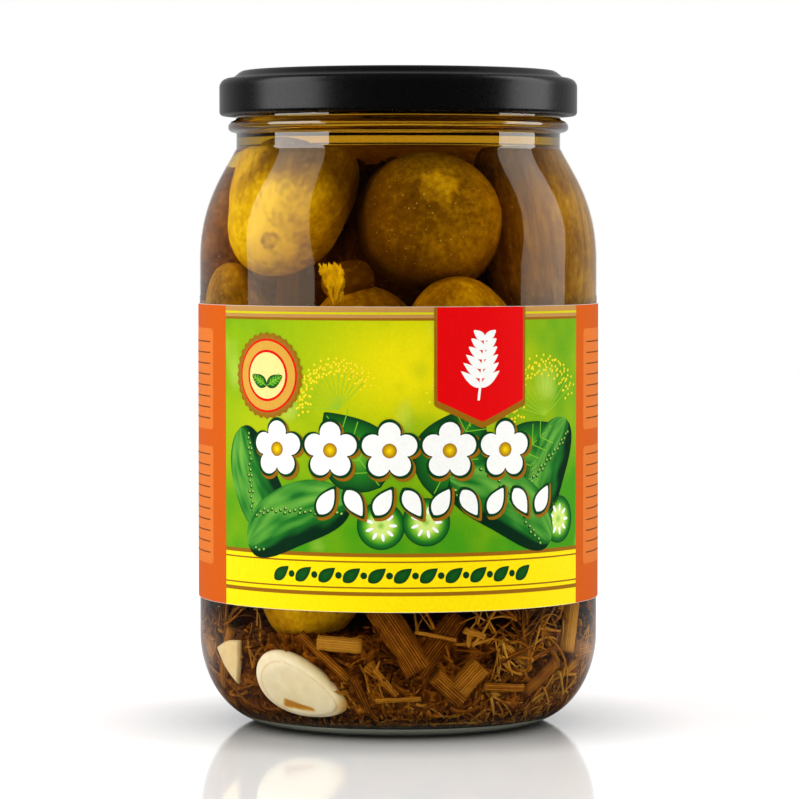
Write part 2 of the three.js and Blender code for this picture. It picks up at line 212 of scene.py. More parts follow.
# Stalks, as in the solids, by angle, height, slope, length, diameter and how far sunk
LENGTH, DIAMETER = 3, 4
NAMED_STALKS = [
    (0, 23.1, -57, 18, 6.6, 0),
    (12.3, 21.5, 53, 16, 5.4, 1),
    (23, 12.4, 50, 7.5, 5.4, 0),
    (64, 23.5, 76, 12.5, 4.8, 0),
    (-17.8, 21.2, -3, 10.3, 3.4, 0),
    (-23, 17.9, -42, 15.5, 2.2, 0),
    (-12, 8.8, -74, 10, 2.2, 0),
    (16, 10.2, -42, 9.5, 4, 0),
    (35, 10.2, -5, 11, 1.9, 0),
    (50, 11.6, 40, 10, 2.8, 0),
]
# How light each of those is
NAMED_TONES = [0.4, 0.3, 0.6, 0.86, 0.8, 0.46, 0.36, 0.5, 0.55, 0.5]
SPREAD_STALKS = 18
# Steps that spread the stalks evenly over the ranges of their height, slope, length and diameter
SPREAD_STEPS = (0.8191725, 0.6710436, 0.5497005, 0.4503)
SPREAD_RANGES = [(9.5, 24), (-70, 70), (9, 17), (2.4, 6.4)]
SPREAD_FIRST_ANGLE = 70
SPREAD_ANGLE_RANGE = 230
STALK_CLEARANCE = 0.6
STALK_SIDES = 40
STALK_RIBS = STALK_SIDES // 4
STALK_RIB_DEPTH = 0.035
STALK_MARGIN = 0.5
STALK_APART = 7.0
STALK_TONES = (0.25, 0.7)
SMALL_STALKS = 160
# Ranges of the small stalks' height, slope, length, diameter and how far sunk
SMALL_RANGES = [(5, 26), (-80, 80), (4, 11), (0.9, 2.2), (0, 2.5)]
THREAD_CLUSTERS = 440
THREADS_EACH = 7
THREAD_SIDES = 4
THREAD_POINTS = 8
THREAD_HEIGHTS = (3.5, 27)
THREAD_TOP_Z = 29
THREAD_LENGTHS = (4, 13)
THREAD_DEPTHS = (0.3, 4.5)
THREAD_RADII = (0.14, 0.42)
THREAD_TONES = (0.36, 0.98)
# Threads lie deeper about an angle, within a reach of it
DEEPER = 2.0
DEEP_ANGLE = -26
DEEP_REACH = 38
CHIPS = 2500
CHIP_TONES = (0.25, 0.85)
CHIP_DEPTHS = (0, 4.0)
CHIP_RISE = 22
CORE_SIDES = 576
DILL_COLOURS = [
    (0.40, (0.020, 0.005, 0.0006)),
    (0.70, (0.10, 0.026, 0.002)),
    (0.95, (0.29, 0.088, 0.006)),
    (1.0, (0.38, 0.14, 0.010)),
]
DILL_PALE = (0.30, 0.24, 0.05)
# Fibres matted in the bed: how close they lie, and where in the noise they are drawn from
FIBRES = [(0.32, 0), (0.45, 40), (0.6, 80)]
FIBRE_WIDTH = 0.16
# Seeds: rings by size and height, and ranges of half their length, width and thickness
GRAIN_SIDES = 6
GRAIN_RINGS = [(0.75, -0.7), (1, 0), (0.75, 0.7)]
GRAIN_SIZES = [(0.6, 2.4), (0.2, 0.6), (0.12, 0.3)]
# Where the loose dill leaves the glass free: from and to an angle, and from and to a height
CLEAR_WINDOWS = [(-49, -21, 5, 17.5), (-67, -55, 11, 21.5), (-46, -13, 20, 40)]

# Garlic, as in the solids
CLOVE = dict(
    angle=-33, z=9.5, inset=3.4, slope=-22, length=23.4, width=14.2, thickness=9, taper=0.32, corners=0.0
)
WEDGE = dict(
    angle=-61, z=16, inset=2.4, slope=42, length=9.9, width=9.6, thickness=5, taper=0.0, corners=0.5
)
GARLIC_FACE = 0.45
GARLIC_EDGE = 0.1
GARLIC_SIDES = 72
WEDGE_STAIN = 0.2
GARLIC_COLOURS = [
    (0.08, (0.90, 0.77, 0.56)),
    (0.3, (0.78, 0.60, 0.36)),
    (0.6, (0.62, 0.30, 0.05)),
    (1.0, (0.42, 0.15, 0.012)),
]

# Camera, fitted to the photograph
CAMERA_AT = (0.3, -960, 119.3)
CAMERA_TILT = math.radians(2.477)
CAMERA_LENS = 178.6

# Stage, in metres: the lamps by angle round the jar, width, roll and radiance. They are rolled about a
# point level with the jar, so that their streaks stay in place on the body
SOFTBOXES = {"left_softbox": (-71.5, 0.83, 17, 1.95), "right_softbox": (91.7, 0.63, -17, 1.85)}
SOFTBOX_DISTANCE = 1.0
SOFTBOX_HEIGHT = 2.3
SOFTBOX_LIFT = 0.66
ROLL_ABOUT = 0.12
FILL_STRENGTH = 1.3
# The room by how far back a ray points: what is mirrored, what shows through glass, and the white backdrop
MIRRORED_ROOM = [(0.3, 0.01), (0.96, 0.4)]
ROOM_THROUGH_GLASS = [(0.1, 0.16), (0.8, 0.8)]
BACKDROP = (0.985, 1)
FLOOR_HALF_SIZE = 6.0

rng = np.random.default_rng(11)


def srgb(red, green, blue):
    """A screen colour, 0 to 255, as a linear colour."""
    share = np.array([red, green, blue]) / 255
    return tuple(np.where(share > 0.04045, ((share + 0.055) / 1.055) ** 2.4, share / 12.92))


# Meshes


def noise_at(points, scale=1.0):
    """Smooth noise at each of some points."""
    return np.array([noise.noise(Vector(p) * scale) for p in points])


def turns(count):
    """Angles of even steps round a circle."""
    return np.arange(count) * 2 * np.pi / count


def upright(radius, start, end, count):
    """Points of a profile at one radius, between two heights."""
    return [(radius, z) for z in np.linspace(start, end, count)]


def placed(name, data):
    made = bpy.data.objects.new(name, data)
    bpy.context.scene.collection.objects.link(made)
    return made


def piece(name, points, faces, material, replaced=()):
    """A mesh that rides on the jar, from points in millimetres."""
    mesh = bpy.data.meshes.new(name)
    raised = np.asarray(points, float) + (0, 0, FOOT_DEPTH)
    mesh.from_pydata((raised * MM).tolist(), [], [tuple(f) for f in faces])
    mesh.polygons.foreach_set("use_smooth", np.full(len(mesh.polygons), True))
    mesh.materials.append(material)
    mesh.update()
    made = placed(name, mesh)
    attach(made, "root")
    if replaced:
        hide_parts(*replaced)
    return made


def paint(made, name, kind, values):
    """A number, a vector or a colour for each point of a piece, which its material reads."""
    field = {"FLOAT": "value", "FLOAT_VECTOR": "vector", "FLOAT_COLOR": "color"}[kind]
    made.data.attributes.new(name, kind, "POINT").data.foreach_set(field, np.ravel(values))


def around(angle, radius, z):
    """Points at angles round the jar from the front."""
    angle, radius, z = np.broadcast_arrays(angle, radius, z)
    return np.stack([radius * np.sin(angle), -radius * np.cos(angle), z], axis=-1)


def turned(profile, sides=SIDES):
    """Points and faces of a profile of radius and height turned round the jar's axis."""
    angles = turns(sides)
    points, rings, count = [], [], 0
    for radius, z in profile:
        ring = around(angles if radius > 1e-6 else angles[:1], radius, z)
        rings.append(np.arange(count, count + len(ring)))
        points.append(ring)
        count += len(ring)
    return np.concatenate(points), stacked(rings)


def bands(low, high):
    """Faces between two rings, either of which may be a single point."""
    sides = max(len(low), len(high))
    here = np.arange(sides)
    there = (here + 1) % sides
    if len(low) == 1:
        return np.stack([np.full(sides, low[0]), high[there], high[here]], 1).tolist()
    if len(high) == 1:
        return np.stack([low[here], low[there], np.full(sides, high[0])], 1).tolist()
    return np.stack([low[here], low[there], high[there], high[here]], 1).tolist()


def stacked(rings):
    """Faces of a stack of rings."""
    return [face for low, high in zip(rings, rings[1:]) for face in bands(low, high)]


def capped(shape):
    """Faces of a grid of rings whose two end points are numbered after it."""
    rings = np.arange(shape[0] * shape[1]).reshape(shape)
    return stacked([np.array([rings.size]), *rings, np.array([rings.size + 1])])


def arc(radius, z, half_width, half_height, start, end, steps):
    """Points of an ellipse's arc in a profile, between two angles in degrees."""
    angles = np.radians(np.linspace(start, end, steps + 1))
    return list(zip(radius + half_width * np.cos(angles), z + half_height * np.sin(angles)))


def tubes(paths, radii, sides, rib_count=0, rib_depth=0.0):
    """Many round rods in one mesh. paths is rods by points by 3, and radii is rods by points."""
    rods, steps, _ = paths.shape
    tangent = np.gradient(paths, axis=1)
    tangent /= np.linalg.norm(tangent, axis=2, keepdims=True) + 1e-9
    helper = np.where(np.abs(tangent[:, :, 2:]) > 0.9, [[[1.0, 0, 0]]], [[[0, 0, 1.0]]])
    across = np.cross(tangent, helper)
    across /= np.linalg.norm(across, axis=2, keepdims=True)
    upward = np.cross(across, tangent)
    turn = turns(sides)
    ribs = 1 + rib_depth * np.cos(rib_count * turn)
    ring = across[:, :, None] * np.cos(turn)[:, None] + upward[:, :, None] * np.sin(turn)[:, None]
    points = paths[:, :, None] + ring * (radii[:, :, None] * ribs)[..., None]
    index = np.arange(rods * steps * sides).reshape(rods, steps, sides)
    after = np.roll(index, -1, axis=2)
    walls = np.stack([index[:, :-1], index[:, 1:], after[:, 1:], after[:, :-1]], -1).reshape(-1, 4)
    caps = [index[:, 0], index[:, -1, ::-1]]
    faces = walls.tolist() + [cap.tolist() for ends in caps for cap in ends]
    return points.reshape(-1, 3), faces


# Materials


def feed(tree, made, inputs):
    """Sets a node's inputs to values, or joins them to other nodes' outputs."""
    for name, value in inputs.items():
        if isinstance(value, bpy.types.NodeSocket):
            tree.links.new(value, made.inputs[name])
        else:
            made.inputs[name].default_value = value


def node(tree, kind, inputs=None, **settings):
    made = tree.nodes.new("ShaderNode" + kind)
    for name, value in settings.items():
        setattr(made, name, value)
    feed(tree, made, inputs or {})
    return made


def ramp(tree, value, *stops):
    """The colour at a value, from pairs of place and colour. A single number stands for a grey."""
    made = node(tree, "ValToRGB", {"Fac": value})
    elements = made.color_ramp.elements
    for i, (place, colour) in enumerate(stops):
        element = elements[i] if i < 2 else elements.new(place)
        element.position = place
        element.color = (*colour, 1) if isinstance(colour, tuple) else (colour, colour, colour, 1)
    return made.outputs["Color"]


def attribute(tree, name, output="Fac"):
    return node(tree, "Attribute", attribute_name=name).outputs[output]


def object_place(tree):
    return node(tree, "TexCoord").outputs["Object"]


def part_of(tree, vector, axis):
    return node(tree, "SeparateXYZ", {0: vector}).outputs[axis]


def fine_noise(tree, place, scale, detail=2.0, roughness=0.5):
    inputs = {"Vector": place, "Scale": scale, "Detail": detail, "Roughness": roughness}
    return node(tree, "TexNoise", inputs).outputs["Fac"]


def times_plus(tree, value, factor, other):
    return node(tree, "Math", {0: value, 1: factor, 2: other}, operation="MULTIPLY_ADD").outputs[0]


def minus(tree, value, less):
    return node(tree, "Math", {0: value, 1: less}, operation="SUBTRACT").outputs[0]


def bump(tree, height, strength, distance):
    inputs = {"Height": height, "Strength": strength, "Distance": distance}
    return node(tree, "Bump", inputs).outputs["Normal"]


def colour_mix(tree, factor, first, second, blend_type="MIX"):
    inputs = {"Factor": factor, "A": first, "B": second}
    return node(tree, "Mix", inputs, data_type="RGBA", blend_type=blend_type).outputs["Result"]


def shader_mix(tree, factor, first, second):
    return node(tree, "MixShader", {0: factor, 1: first, 2: second}).outputs[0]


def new_material(name):
    material = bpy.data.materials.new(name)
    material.use_nodes = True
    return material, material.node_tree


def finished(material, colour, normal, roughness, specular, others=None):
    """Gives an opaque material its looks."""
    tree = material.node_tree
    looks = {"Base Color": colour, "Normal": normal, "Roughness": roughness, "Specular IOR Level": specular}
    feed(tree, tree.nodes["Principled BSDF"], {**looks, **(others or {})})
    return material


def clear_material(name, tint=NO_TINT, shine=NO_SHINE, passed=NO_TINT, others=None):
    """Glass or brine. A face that touches another clear thing hardly reflects, and so has no shine.

    Lamps and soft light pass the surface straight, while the camera sees it bend what is behind.
    """
    material, tree = new_material(name)
    shader = tree.nodes["Principled BSDF"]
    feed(tree, shader, {"Base Color": (*tint, 1), "Roughness": 0.0, "Specular Tint": (*shine, 1)})
    feed(tree, shader, {"Transmission Weight": 1.0, "IOR": GLASS_IOR, **(others or {})})
    path = node(tree, "LightPath").outputs
    clear = node(tree, "BsdfTransparent", {"Color": (*passed, 1)}).outputs[0]
    soft = shader_mix(tree, path["Is Diffuse Ray"], shader.outputs[0], clear)
    lamp = shader_mix(tree, path["Is Shadow Ray"], soft, clear)
    feed(tree, tree.nodes["Material Output"], {"Surface": lamp})
    return material


def brine_material():
    material = clear_material("brine", others={"IOR": BRINE_IOR})
    tree = material.node_tree
    volume = node(tree, "VolumeAbsorption", {"Color": (*BRINE_COLOUR, 1), "Density": BRINE_DENSITY})
    feed(tree, tree.nodes["Material Output"], {"Volume": volume.outputs[0]})
    return material


def lacquer_material():
    material, tree = new_material("black_lacquer")
    grain = fine_noise(tree, object_place(tree), 900.0, 3.0)
    roughness = ramp(tree, grain, (0.3, 0.26), (0.7, 0.3))
    return finished(material, LACQUER, bump(tree, grain, 0.012, 0.0002), roughness, 0.6)


def gherkin_material():
    """Skin by three patterns, clouds, streaks along the gherkin and fine grain, with pale specks."""
    material, tree = new_material("gherkin_skin")
    place = attribute(tree, "skin_place", "Vector")
    # The tone carries each gherkin's own lightness, partly painted light and shade, with its painted side
    # light
    total = attribute(tree, "skin_tone_and_painted_light")
    for size, detail, share in SKIN_PATTERNS:
        scaled = node(tree, "Mapping", {"Vector": place, "Scale": size}).outputs["Vector"]
        pattern = fine_noise(tree, scaled, 1.0, detail, 0.6)
        total = times_plus(tree, minus(tree, pattern, 0.5), share, total)
    speck = node(tree, "TexVoronoi", {"Vector": place, "Scale": 0.62}).outputs["Distance"]
    spot = ramp(tree, speck, (0.06, 0.6), (0.14, 0))
    colour = colour_mix(tree, spot, ramp(tree, total, *SKIN_COLOURS), SPECK_COLOUR)
    return finished(material, colour, bump(tree, pattern, 0.35, 0.0005), 0.55, 0.0, SHEEN)


def dill_material():
    """Steeped stalks: fibres that run along each stalk, over its own lightness."""
    material, tree = new_material("steeped_dill")
    place = attribute(tree, "stalk_place", "Vector")
    drawn = node(tree, "Mapping", {"Vector": place, "Scale": (1.0, 0.06, 1.0)}).outputs["Vector"]
    wave = {"Vector": drawn, "Scale": 0.5, "Distortion": 0.7, "Detail": 2.0, "Detail Scale": 0.7}
    fibre = node(tree, "TexWave", wave).outputs["Fac"]
    both = times_plus(tree, fibre, 0.75, fine_noise(tree, object_place(tree), 420.0, 4.0))
    total = times_plus(tree, both, 0.42, attribute(tree, "stalk_tone"))
    pale = ramp(tree, minus(tree, total, 1.0), (0.0, 0), (1.0, DILL_PALE))
    colour = colour_mix(tree, 1.0, ramp(tree, total, *DILL_COLOURS), pale, "ADD")
    return finished(material, colour, bump(tree, both, 0.6, 0.0004), 0.6, 0.0)


def garlic_material():
    material, tree = new_material("garlic_flesh")
    grain = fine_noise(tree, object_place(tree), 350.0, 4.0)
    stained = times_plus(tree, grain, 0.3, attribute(tree, "stain"))
    colour = ramp(tree, stained, *GARLIC_COLOURS)
    return finished(material, colour, bump(tree, grain, 0.2, 0.0003), 0.5, 0.05)


def paper_material(name, colour_from=None):
    material, tree = new_material(name)
    fibre = fine_noise(tree, object_place(tree), 1500.0, 3.0)
    colour = ramp(tree, fibre, (0.3, 0.93), (0.7, 1))
    if colour_from:
        colour = colour_mix(tree, 1.0, attribute(tree, colour_from, "Color"), colour, "MULTIPLY")
    return finished(material, colour, bump(tree, fibre, 0.05, 0.0001), 0.5, 0.05)


# Glass and brine


def shoulder(wall, steps):
    """The curve from the body up to the neck."""
    corners = [
        (BODY_RADIUS - wall, SHOULDER_LOW_Z),
        (BODY_RADIUS - wall, SHOULDER_LOW_Z + SHOULDER_RISE),
        (NECK_RADIUS + SHOULDER_FALL * SHOULDER_LEAN - wall, SHOULDER_TOP_Z - SHOULDER_FALL),
        (NECK_RADIUS - wall, SHOULDER_TOP_Z),
    ]
    t = np.linspace(0, 1, steps + 1)[:, None]
    weights = np.hstack([(1 - t) ** 3, 3 * t * (1 - t) ** 2, 3 * t**2 * (1 - t), t**3])
    return [tuple(p) for p in weights @ np.array(corners)]


def glass_outside():
    foot_inner = FOOT_RADIUS - FOOT_WIDTH
    reach = foot_inner - DOME_EDGE
    dome = [(r, PUSH_UP * (1 - DOME_FALL * (r / reach) ** 2)) for r in np.linspace(0, reach, 10)]
    rim = PUSH_UP * (1 - DOME_FALL) + FOOT_DEPTH
    shares = np.linspace(0.1, 1, 9)
    fall = [(reach + DOME_EDGE * t, rim * math.cos(math.pi * t / 2) ** 2 - FOOT_DEPTH) for t in shares]
    return (
        dome
        + fall
        + arc(FOOT_RADIUS, HEEL_HEIGHT, BODY_RADIUS - FOOT_RADIUS, HEEL_HEIGHT + FOOT_DEPTH, -90, 0, 24)
        + upright(BODY_RADIUS, HEEL_HEIGHT + 3, SHOULDER_LOW_Z - 3, 24)
        + shoulder(0, 36)
        + upright(NECK_RADIUS, SHOULDER_TOP_Z + 0.3, BEAD_Z - BEAD_HALF_HEIGHT - 0.1, 8)
        + arc(NECK_RADIUS + 0.2, BEAD_Z, BEAD_REACH, BEAD_HALF_HEIGHT, -78, 78, 14)
        + upright(NECK_RADIUS, FINISH_LOW_Z, RIM_Z - RIM_ROUND - 0.3, 26)
        + arc(NECK_RADIUS - RIM_ROUND, RIM_Z - RIM_ROUND, RIM_ROUND, RIM_ROUND, 0, 90, 6)
    )


def glass_inside(out=0.0):
    """The inside from the rim to the middle of the floor, moved out into the wall by a little."""
    neck = NECK_RADIUS - NECK_WALL + out
    heel = HEEL_REACH + out
    floor = FLOOR_EDGE_Z - out
    floor_rise = FLOOR_CENTRE_Z - FLOOR_EDGE_Z
    base = [(r, floor + floor_rise * (1 - (r / FLOOR_EDGE_RADIUS) ** 2)) for r in np.linspace(29, 0, 12)]
    return (
        arc(neck + RIM_ROUND, RIM_Z - RIM_ROUND, RIM_ROUND, RIM_ROUND, 100, 180, 5)
        + upright(neck, RIM_Z - 2, SHOULDER_TOP_Z + 1, 12)
        + shoulder(WALL - out, 36)[::-1]
        + upright(BODY_RADIUS - WALL + out, SHOULDER_LOW_Z - 3, INNER_HEEL_TOP_Z + 3, 24)
        + arc(FLOOR_EDGE_RADIUS, INNER_HEEL_TOP_Z, heel, INNER_HEEL_TOP_Z - floor, 0, -90, 24)
        + base
    )


def raise_lugs(points):
    """Lifts the helical lugs out of the neck."""
    angle = np.arctan2(points[:, 0], -points[:, 1])
    radius = np.hypot(points[:, 0], points[:, 1])
    lift = np.zeros(len(points))
    for index in range(LUG_COUNT):
        along = (angle - LUG_START - index * 2 * np.pi / LUG_COUNT) % (2 * np.pi) / LUG_SWEEP
        centre = LUG_LOW_Z + LUG_HALF_WIDTH + LUG_RISE * along
        taper = np.clip(np.minimum(along, 1 - along) * 12, 0, 1)
        ridge = np.clip(1 - ((points[:, 2] - centre) / LUG_HALF_WIDTH) ** 2, 0, 1)
        lift = np.maximum(lift, np.where(along < 1, LUG_PROUD * taper * np.sqrt(ridge), 0))
    lift *= (radius > NECK_RADIUS - 0.05) & (points[:, 2] > FINISH_LOW_Z)
    points[:, :2] *= (1 + lift / np.maximum(radius, 1e-6))[:, None]
    return points


def glass_kind(height, outer):
    """Which of the glass's materials a face has."""
    if outer and height < FOOT_SHADE_Z:
        return FOOT
    if outer:
        return NECK if height > NECK_SHINE_Z else CLEAR
    if height > BRINE_TOP_Z:
        return CLEAR
    return WET_NECK if height > SHOULDER_TOP_Z else WET


def make_glass():
    """The jar. Its thick foot throws a shadow, its neck shines more, and its wet faces hardly reflect; its
    wet neck is tinted darker as painted shade.
    """
    outside = glass_outside()
    points, faces = turned(outside + glass_inside())
    jar_glass = clear_material("jar_glass", GLASS_TINT, GLASS_SHINE)
    made = piece("glass", raise_lugs(points), faces, jar_glass, ["jar_glass"])
    other_kinds = [
        clear_material("wet_glass", GLASS_TINT),
        clear_material("foot_glass", FOOT_TINT, GLASS_SHINE, FOOT_PASSED, FOOT_CLEARNESS),
        clear_material("neck_glass", GLASS_TINT, GLASS_SHINE, others=NECK_COAT),
        clear_material("wet_neck_glass_painted_shade", NECK_PAINTED_SHADE_TINT),
    ]
    for material in other_kinds:
        made.data.materials.append(material)
    outer_count = (len(outside) - 1) * SIDES
    for index, face in enumerate(made.data.polygons):
        face.material_index = glass_kind(face.center.z / MM - FOOT_DEPTH, index < outer_count)


def make_brine():
    inside = [(r, z) for r, z in glass_inside(BRINE_INTO_WALL) if z < BRINE_TOP_Z][::-1]
    top = [(r, BRINE_TOP_Z) for r in (inside[-1][0], inside[-1][0] - 3, 20, 0)]
    points, faces = turned(inside + top)
    piece("brine", points, faces, brine_material())


# The inside of the glass by height, for what lies against it
INSIDE = np.array(sorted({(round(z, 4), r) for r, z in glass_inside() if r > FLOOR_EDGE_RADIUS - 1}))


def inner_radius(z):
    return np.interp(z, INSIDE[:, 0], INSIDE[:, 1])


def keep_inside(points):
    """Pushes points back from the glass, so that what is pressed on it goes flat."""
    points[:, 2] = np.maximum(points[:, 2], FLOOR_EDGE_Z + CONTENT_GAP)
    radius = np.hypot(points[:, 0], points[:, 1])
    most = inner_radius(points[:, 2]) - CONTENT_GAP
    points[:, :2] *= np.minimum(1, most / np.maximum(radius, 1e-6))[:, None]
    return points


# Lid


def make_lid():
    skirt = LID_RADIUS - LID_SHEET
    corner = LID_RADIUS - LID_CORNER
    curl = LID_RADIUS - LID_CURL_RADIUS
    panel = LID_TOP_Z - LID_PANEL_DROP
    underside = RIM_Z + SEAL_GAP
    rise = LID_TOP_Z - LID_SHOULDER_Z
    slope = np.linspace(0, 1, 14)
    profile = (
        [(0, underside), (20, underside), (corner - 0.6, underside)]
        + arc(corner, LID_SHOULDER_Z - LID_CORNER, skirt - corner, 1.6, 90, 0, 8)
        + upright(skirt, LID_SKIRT_TOP_Z, LID_LOW_Z + 2.6, 6)
        + arc(curl, LID_LOW_Z + LID_CURL_RADIUS, LID_CURL_RADIUS, LID_CURL_RADIUS, 120, 360, 24)
        + upright(LID_RADIUS, LID_SKIRT_LOW_Z, LID_SKIRT_TOP_Z, 8)
        + arc(corner, LID_SHOULDER_Z - LID_CORNER, LID_CORNER, LID_CORNER, 0, 82, 14)
        + [(LID_RING_OUTER - LID_RING_SLOPE * t, LID_SHOULDER_Z + rise * t * t * (3 - 2 * t)) for t in slope]
        + [(r, LID_TOP_Z) for r in LID_RING_FLAT]
        + arc(LID_RING_INNER + LID_RING_ROUND, panel, LID_RING_ROUND, LID_PANEL_DROP, 90, 180, 10)
        + [(r, panel) for r in np.linspace(LID_RING_INNER - 1, LID_BUTTON_RADIUS + 0.5, 8)]
        + [(LID_BUTTON_RADIUS, panel), (LID_BUTTON_RADIUS - 0.8, panel - 0.2)]
        + [(LID_BUTTON_RADIUS - 1.5, panel - LID_BUTTON_DROP), (6, panel - 0.5), (0, panel - 0.5)]
    )
    points, faces = turned(profile)
    piece("lid_shell", points, faces, lacquer_material(), ["lid"])


# Gherkins


def gherkin(index, start, end, radius, bow):
    """Points, faces and skin places of one gherkin, with lobes, hollows and warts in its skin."""
    start, end = np.array(start, float), np.array(end, float)
    axis = Vector(end - start)
    length = axis.length
    along = (1 - np.cos(np.pi * np.arange(1, GHERKIN_RINGS) / GHERKIN_RINGS)) / 2
    share, angle = np.meshgrid(along, turns(GHERKIN_SIDES), indexing="ij")
    girth = np.sqrt(1 - np.abs(2 * share - 1) ** GHERKIN_BLUNTNESS)
    lobes = 1 + GHERKIN_LOBES * np.cos(3 * angle + index)
    reach = radius * girth * lobes
    local = np.stack([reach * np.cos(angle), reach * np.sin(angle), (share - 0.5) * length], -1)
    ends = np.array([[0, 0, -0.5 * length], [0, 0, 0.5 * length]])
    local = np.concatenate([local.reshape(-1, 3), ends])
    places = local + (0, 0, SKIN_APART * index)
    outward = local / np.array([radius, radius, length / 2]) ** 2
    outward /= np.linalg.norm(outward, axis=1, keepdims=True)
    local = local + outward * skin_relief(places)[:, None]
    local[:, 0] += bow * (1 - (2 * local[:, 2] / length) ** 2)
    spin = np.array(Vector((0, 0, 1)).rotation_difference(axis).to_matrix())
    points = keep_inside(local @ spin.T + (start + end) / 2)
    return points, capped(share.shape), places


def skin_relief(places):
    """How far the skin stands out, in millimetres: soft hollows, and low warts."""
    hollow = 0.5 * noise_at(places, 0.08) + 0.12 * noise_at(places, 0.3)
    wart = np.array([noise.voronoi(Vector(p) * 0.16)[0][0] for p in places])
    return hollow + 0.22 * np.maximum(0, 1 - wart / 0.3) ** 2


def scarred(points, tones):
    """Lightens or darkens the skin in uneven patches."""
    for place, size, lighter, fade in SCARS:
        away = np.linalg.norm(points - place, axis=1) / size
        near = away < SCAR_REACH
        edge = away[near] + 0.35 * noise_at(points[near], 0.5) + 0.2 * noise_at(points[near], 1.7)
        tones[near] += lighter * np.clip((1 + fade / 2 - edge) / fade, 0, 1)
    return tones


def painted_shade_core():
    """A lumpy core behind the gherkins, coloured dark as painted shade."""
    corners = np.array(GHERKIN_CORE, float)
    runs = [np.linspace(a, b, 10)[:-1] for a, b in zip(corners, corners[1:])]
    profile = np.concatenate(runs + [corners[-1:]])
    points, faces = turned(profile.tolist(), 96)
    lumps = 1 + 0.07 * noise_at(points, 0.11) + 0.02 * noise_at(points, 0.5)
    return points * lumps[:, None] + (0, GHERKIN_CORE_BACK, 0), faces


def torn_scrap():
    """A thin ragged flap of skin, wide at its top, as points and faces of both its sides."""
    columns, rows = 26, 34
    across, down = np.meshgrid(np.linspace(-0.5, 0.5, columns), np.linspace(0, 1, rows))
    ragged = [noise_at([(i * 0.45, seed, 0) for i in range(rows)])[:, None] for seed in (3.1, 9.7)]
    torn = np.where(across < 0, *ragged)
    width = SCRAP_SIZE[0] * (0.8 + 0.2 * np.clip(5 * down, 0, 1) - 0.62 * down + 0.26 * torn)
    hem, brim = [noise_at([(i * 0.5, seed, 0) for i in range(columns)]) for seed in (8.3, 2.2)]
    fall = SCRAP_SIZE[1] * (down * (1 + 0.2 * hem) + 0.16 * brim * (1 - down))
    depth = 0.9 * cloud(across * 5, down * 5, 1, 1.7) - 3.5 * across
    front = np.stack([across * width + 1.5 * down, depth, 0.5 * SCRAP_SIZE[1] - fall], -1)
    back = front + (0, 0.35, 0)
    points = np.concatenate([front.reshape(-1, 3), back.reshape(-1, 3)]) + SCRAP_AT
    near = np.arange(rows * columns).reshape(rows, columns)
    quads = np.stack([near[:-1, :-1], near[1:, :-1], near[1:, 1:], near[:-1, 1:]], -1).reshape(-1, 4)
    back_quads = quads[:, [0, 3, 2, 1]] + rows * columns
    faces = quads.tolist() + back_quads.tolist()
    edge = np.concatenate([near[0, :-1], near[:-1, -1], near[-1, :0:-1], near[:0:-1, 0]])
    beyond = edge + rows * columns
    faces += np.stack([edge, np.roll(edge, -1), np.roll(beyond, -1), beyond], 1).tolist()
    return points, faces


def make_gherkins():
    points, faces, places, tones = [], [], [], []
    count = 0
    parts = [(*gherkin(index, *row[:4]), *row[4:]) for index, row in enumerate(GHERKINS + [STUB])]
    core, scrap = painted_shade_core(), torn_scrap()
    parts += [(*core, core[0], CORE_PAINTED_SHADE, 0), (*scrap, scrap[0], SCRAP_TONE, 0)]
    for one, sides, place, tone, lean in parts:
        points.append(one)
        faces += [[v + count for v in face] for face in sides]
        places.append(place)
        middle, half = one[:, 0].mean(), np.ptp(one[:, 0]) / 2
        # Painted side light: the skin grows lighter or darker across X by the part's lean
        tones.append(tone + lean * (one[:, 0] - middle) / half)
        count += len(one)
    points = np.concatenate(points)
    heap = piece("gherkin_heap", points, faces, gherkin_material(), ["gherkins"])
    paint(heap, "skin_place", "FLOAT_VECTOR", np.concatenate(places))
    paint(heap, "skin_tone_and_painted_light", "FLOAT", scarred(points, np.concatenate(tones)))


# Dill bed


def heel_drop(z):
    """How far down the heel's inner curve a height is, from 0 to 1."""
    return np.clip((INNER_HEEL_TOP_Z - z) / HEEL_DEPTH, 0, 1)


def heel_radius(z):
    """Inner radius of the glass near the floor, as the solids place what lies on it."""
    return FLOOR_EDGE_RADIUS + HEEL_REACH * np.sqrt(1 - heel_drop(z) ** 2)


def wall_frame(angle, z, inset, slope):
    """Axes and centre of a thing on the inner wall: x round the jar, y up the wall and z out through it."""
    angle, slope = math.radians(angle), math.radians(slope)
    drop = heel_drop(z)
    lean = math.atan2(HEEL_REACH * drop, HEEL_DEPTH * math.sqrt(1 - drop * drop))
    outward = np.array([math.sin(angle), -math.cos(angle), 0])
    along = np.array([math.cos(angle), math.sin(angle), 0])
    upward = np.array([0, 0, 1.0])
    up_wall = upward * math.cos(lean) + outward * math.sin(lean)
    through = outward * math.cos(lean) - upward * math.sin(lean)
    x = along * math.cos(slope) + up_wall * math.sin(slope)
    y = up_wall * math.cos(slope) - along * math.sin(slope)
    return np.stack([x, y, through]), outward * heel_radius(z) + upward * z - through * inset


def stalk_path(angle, z, slope, length, diameter, sunk, steps=9):
    """The axis of a stalk that lies against the glass."""
    steepness = math.radians(slope)
    round_wall = math.cos(steepness) ** 2 / heel_radius(z)
    up_heel = 2 * math.sin(steepness) ** 2 / (HEEL_REACH + HEEL_DEPTH) if z < INNER_HEEL_TOP_Z else 0
    sagitta = length**2 * (round_wall + up_heel) / 8
    axes, middle = wall_frame(angle, z, diameter / 2 + STALK_CLEARANCE + sagitta + sunk, slope)
    return middle + np.linspace(-length / 2, length / 2, steps)[:, None] * axes[0]


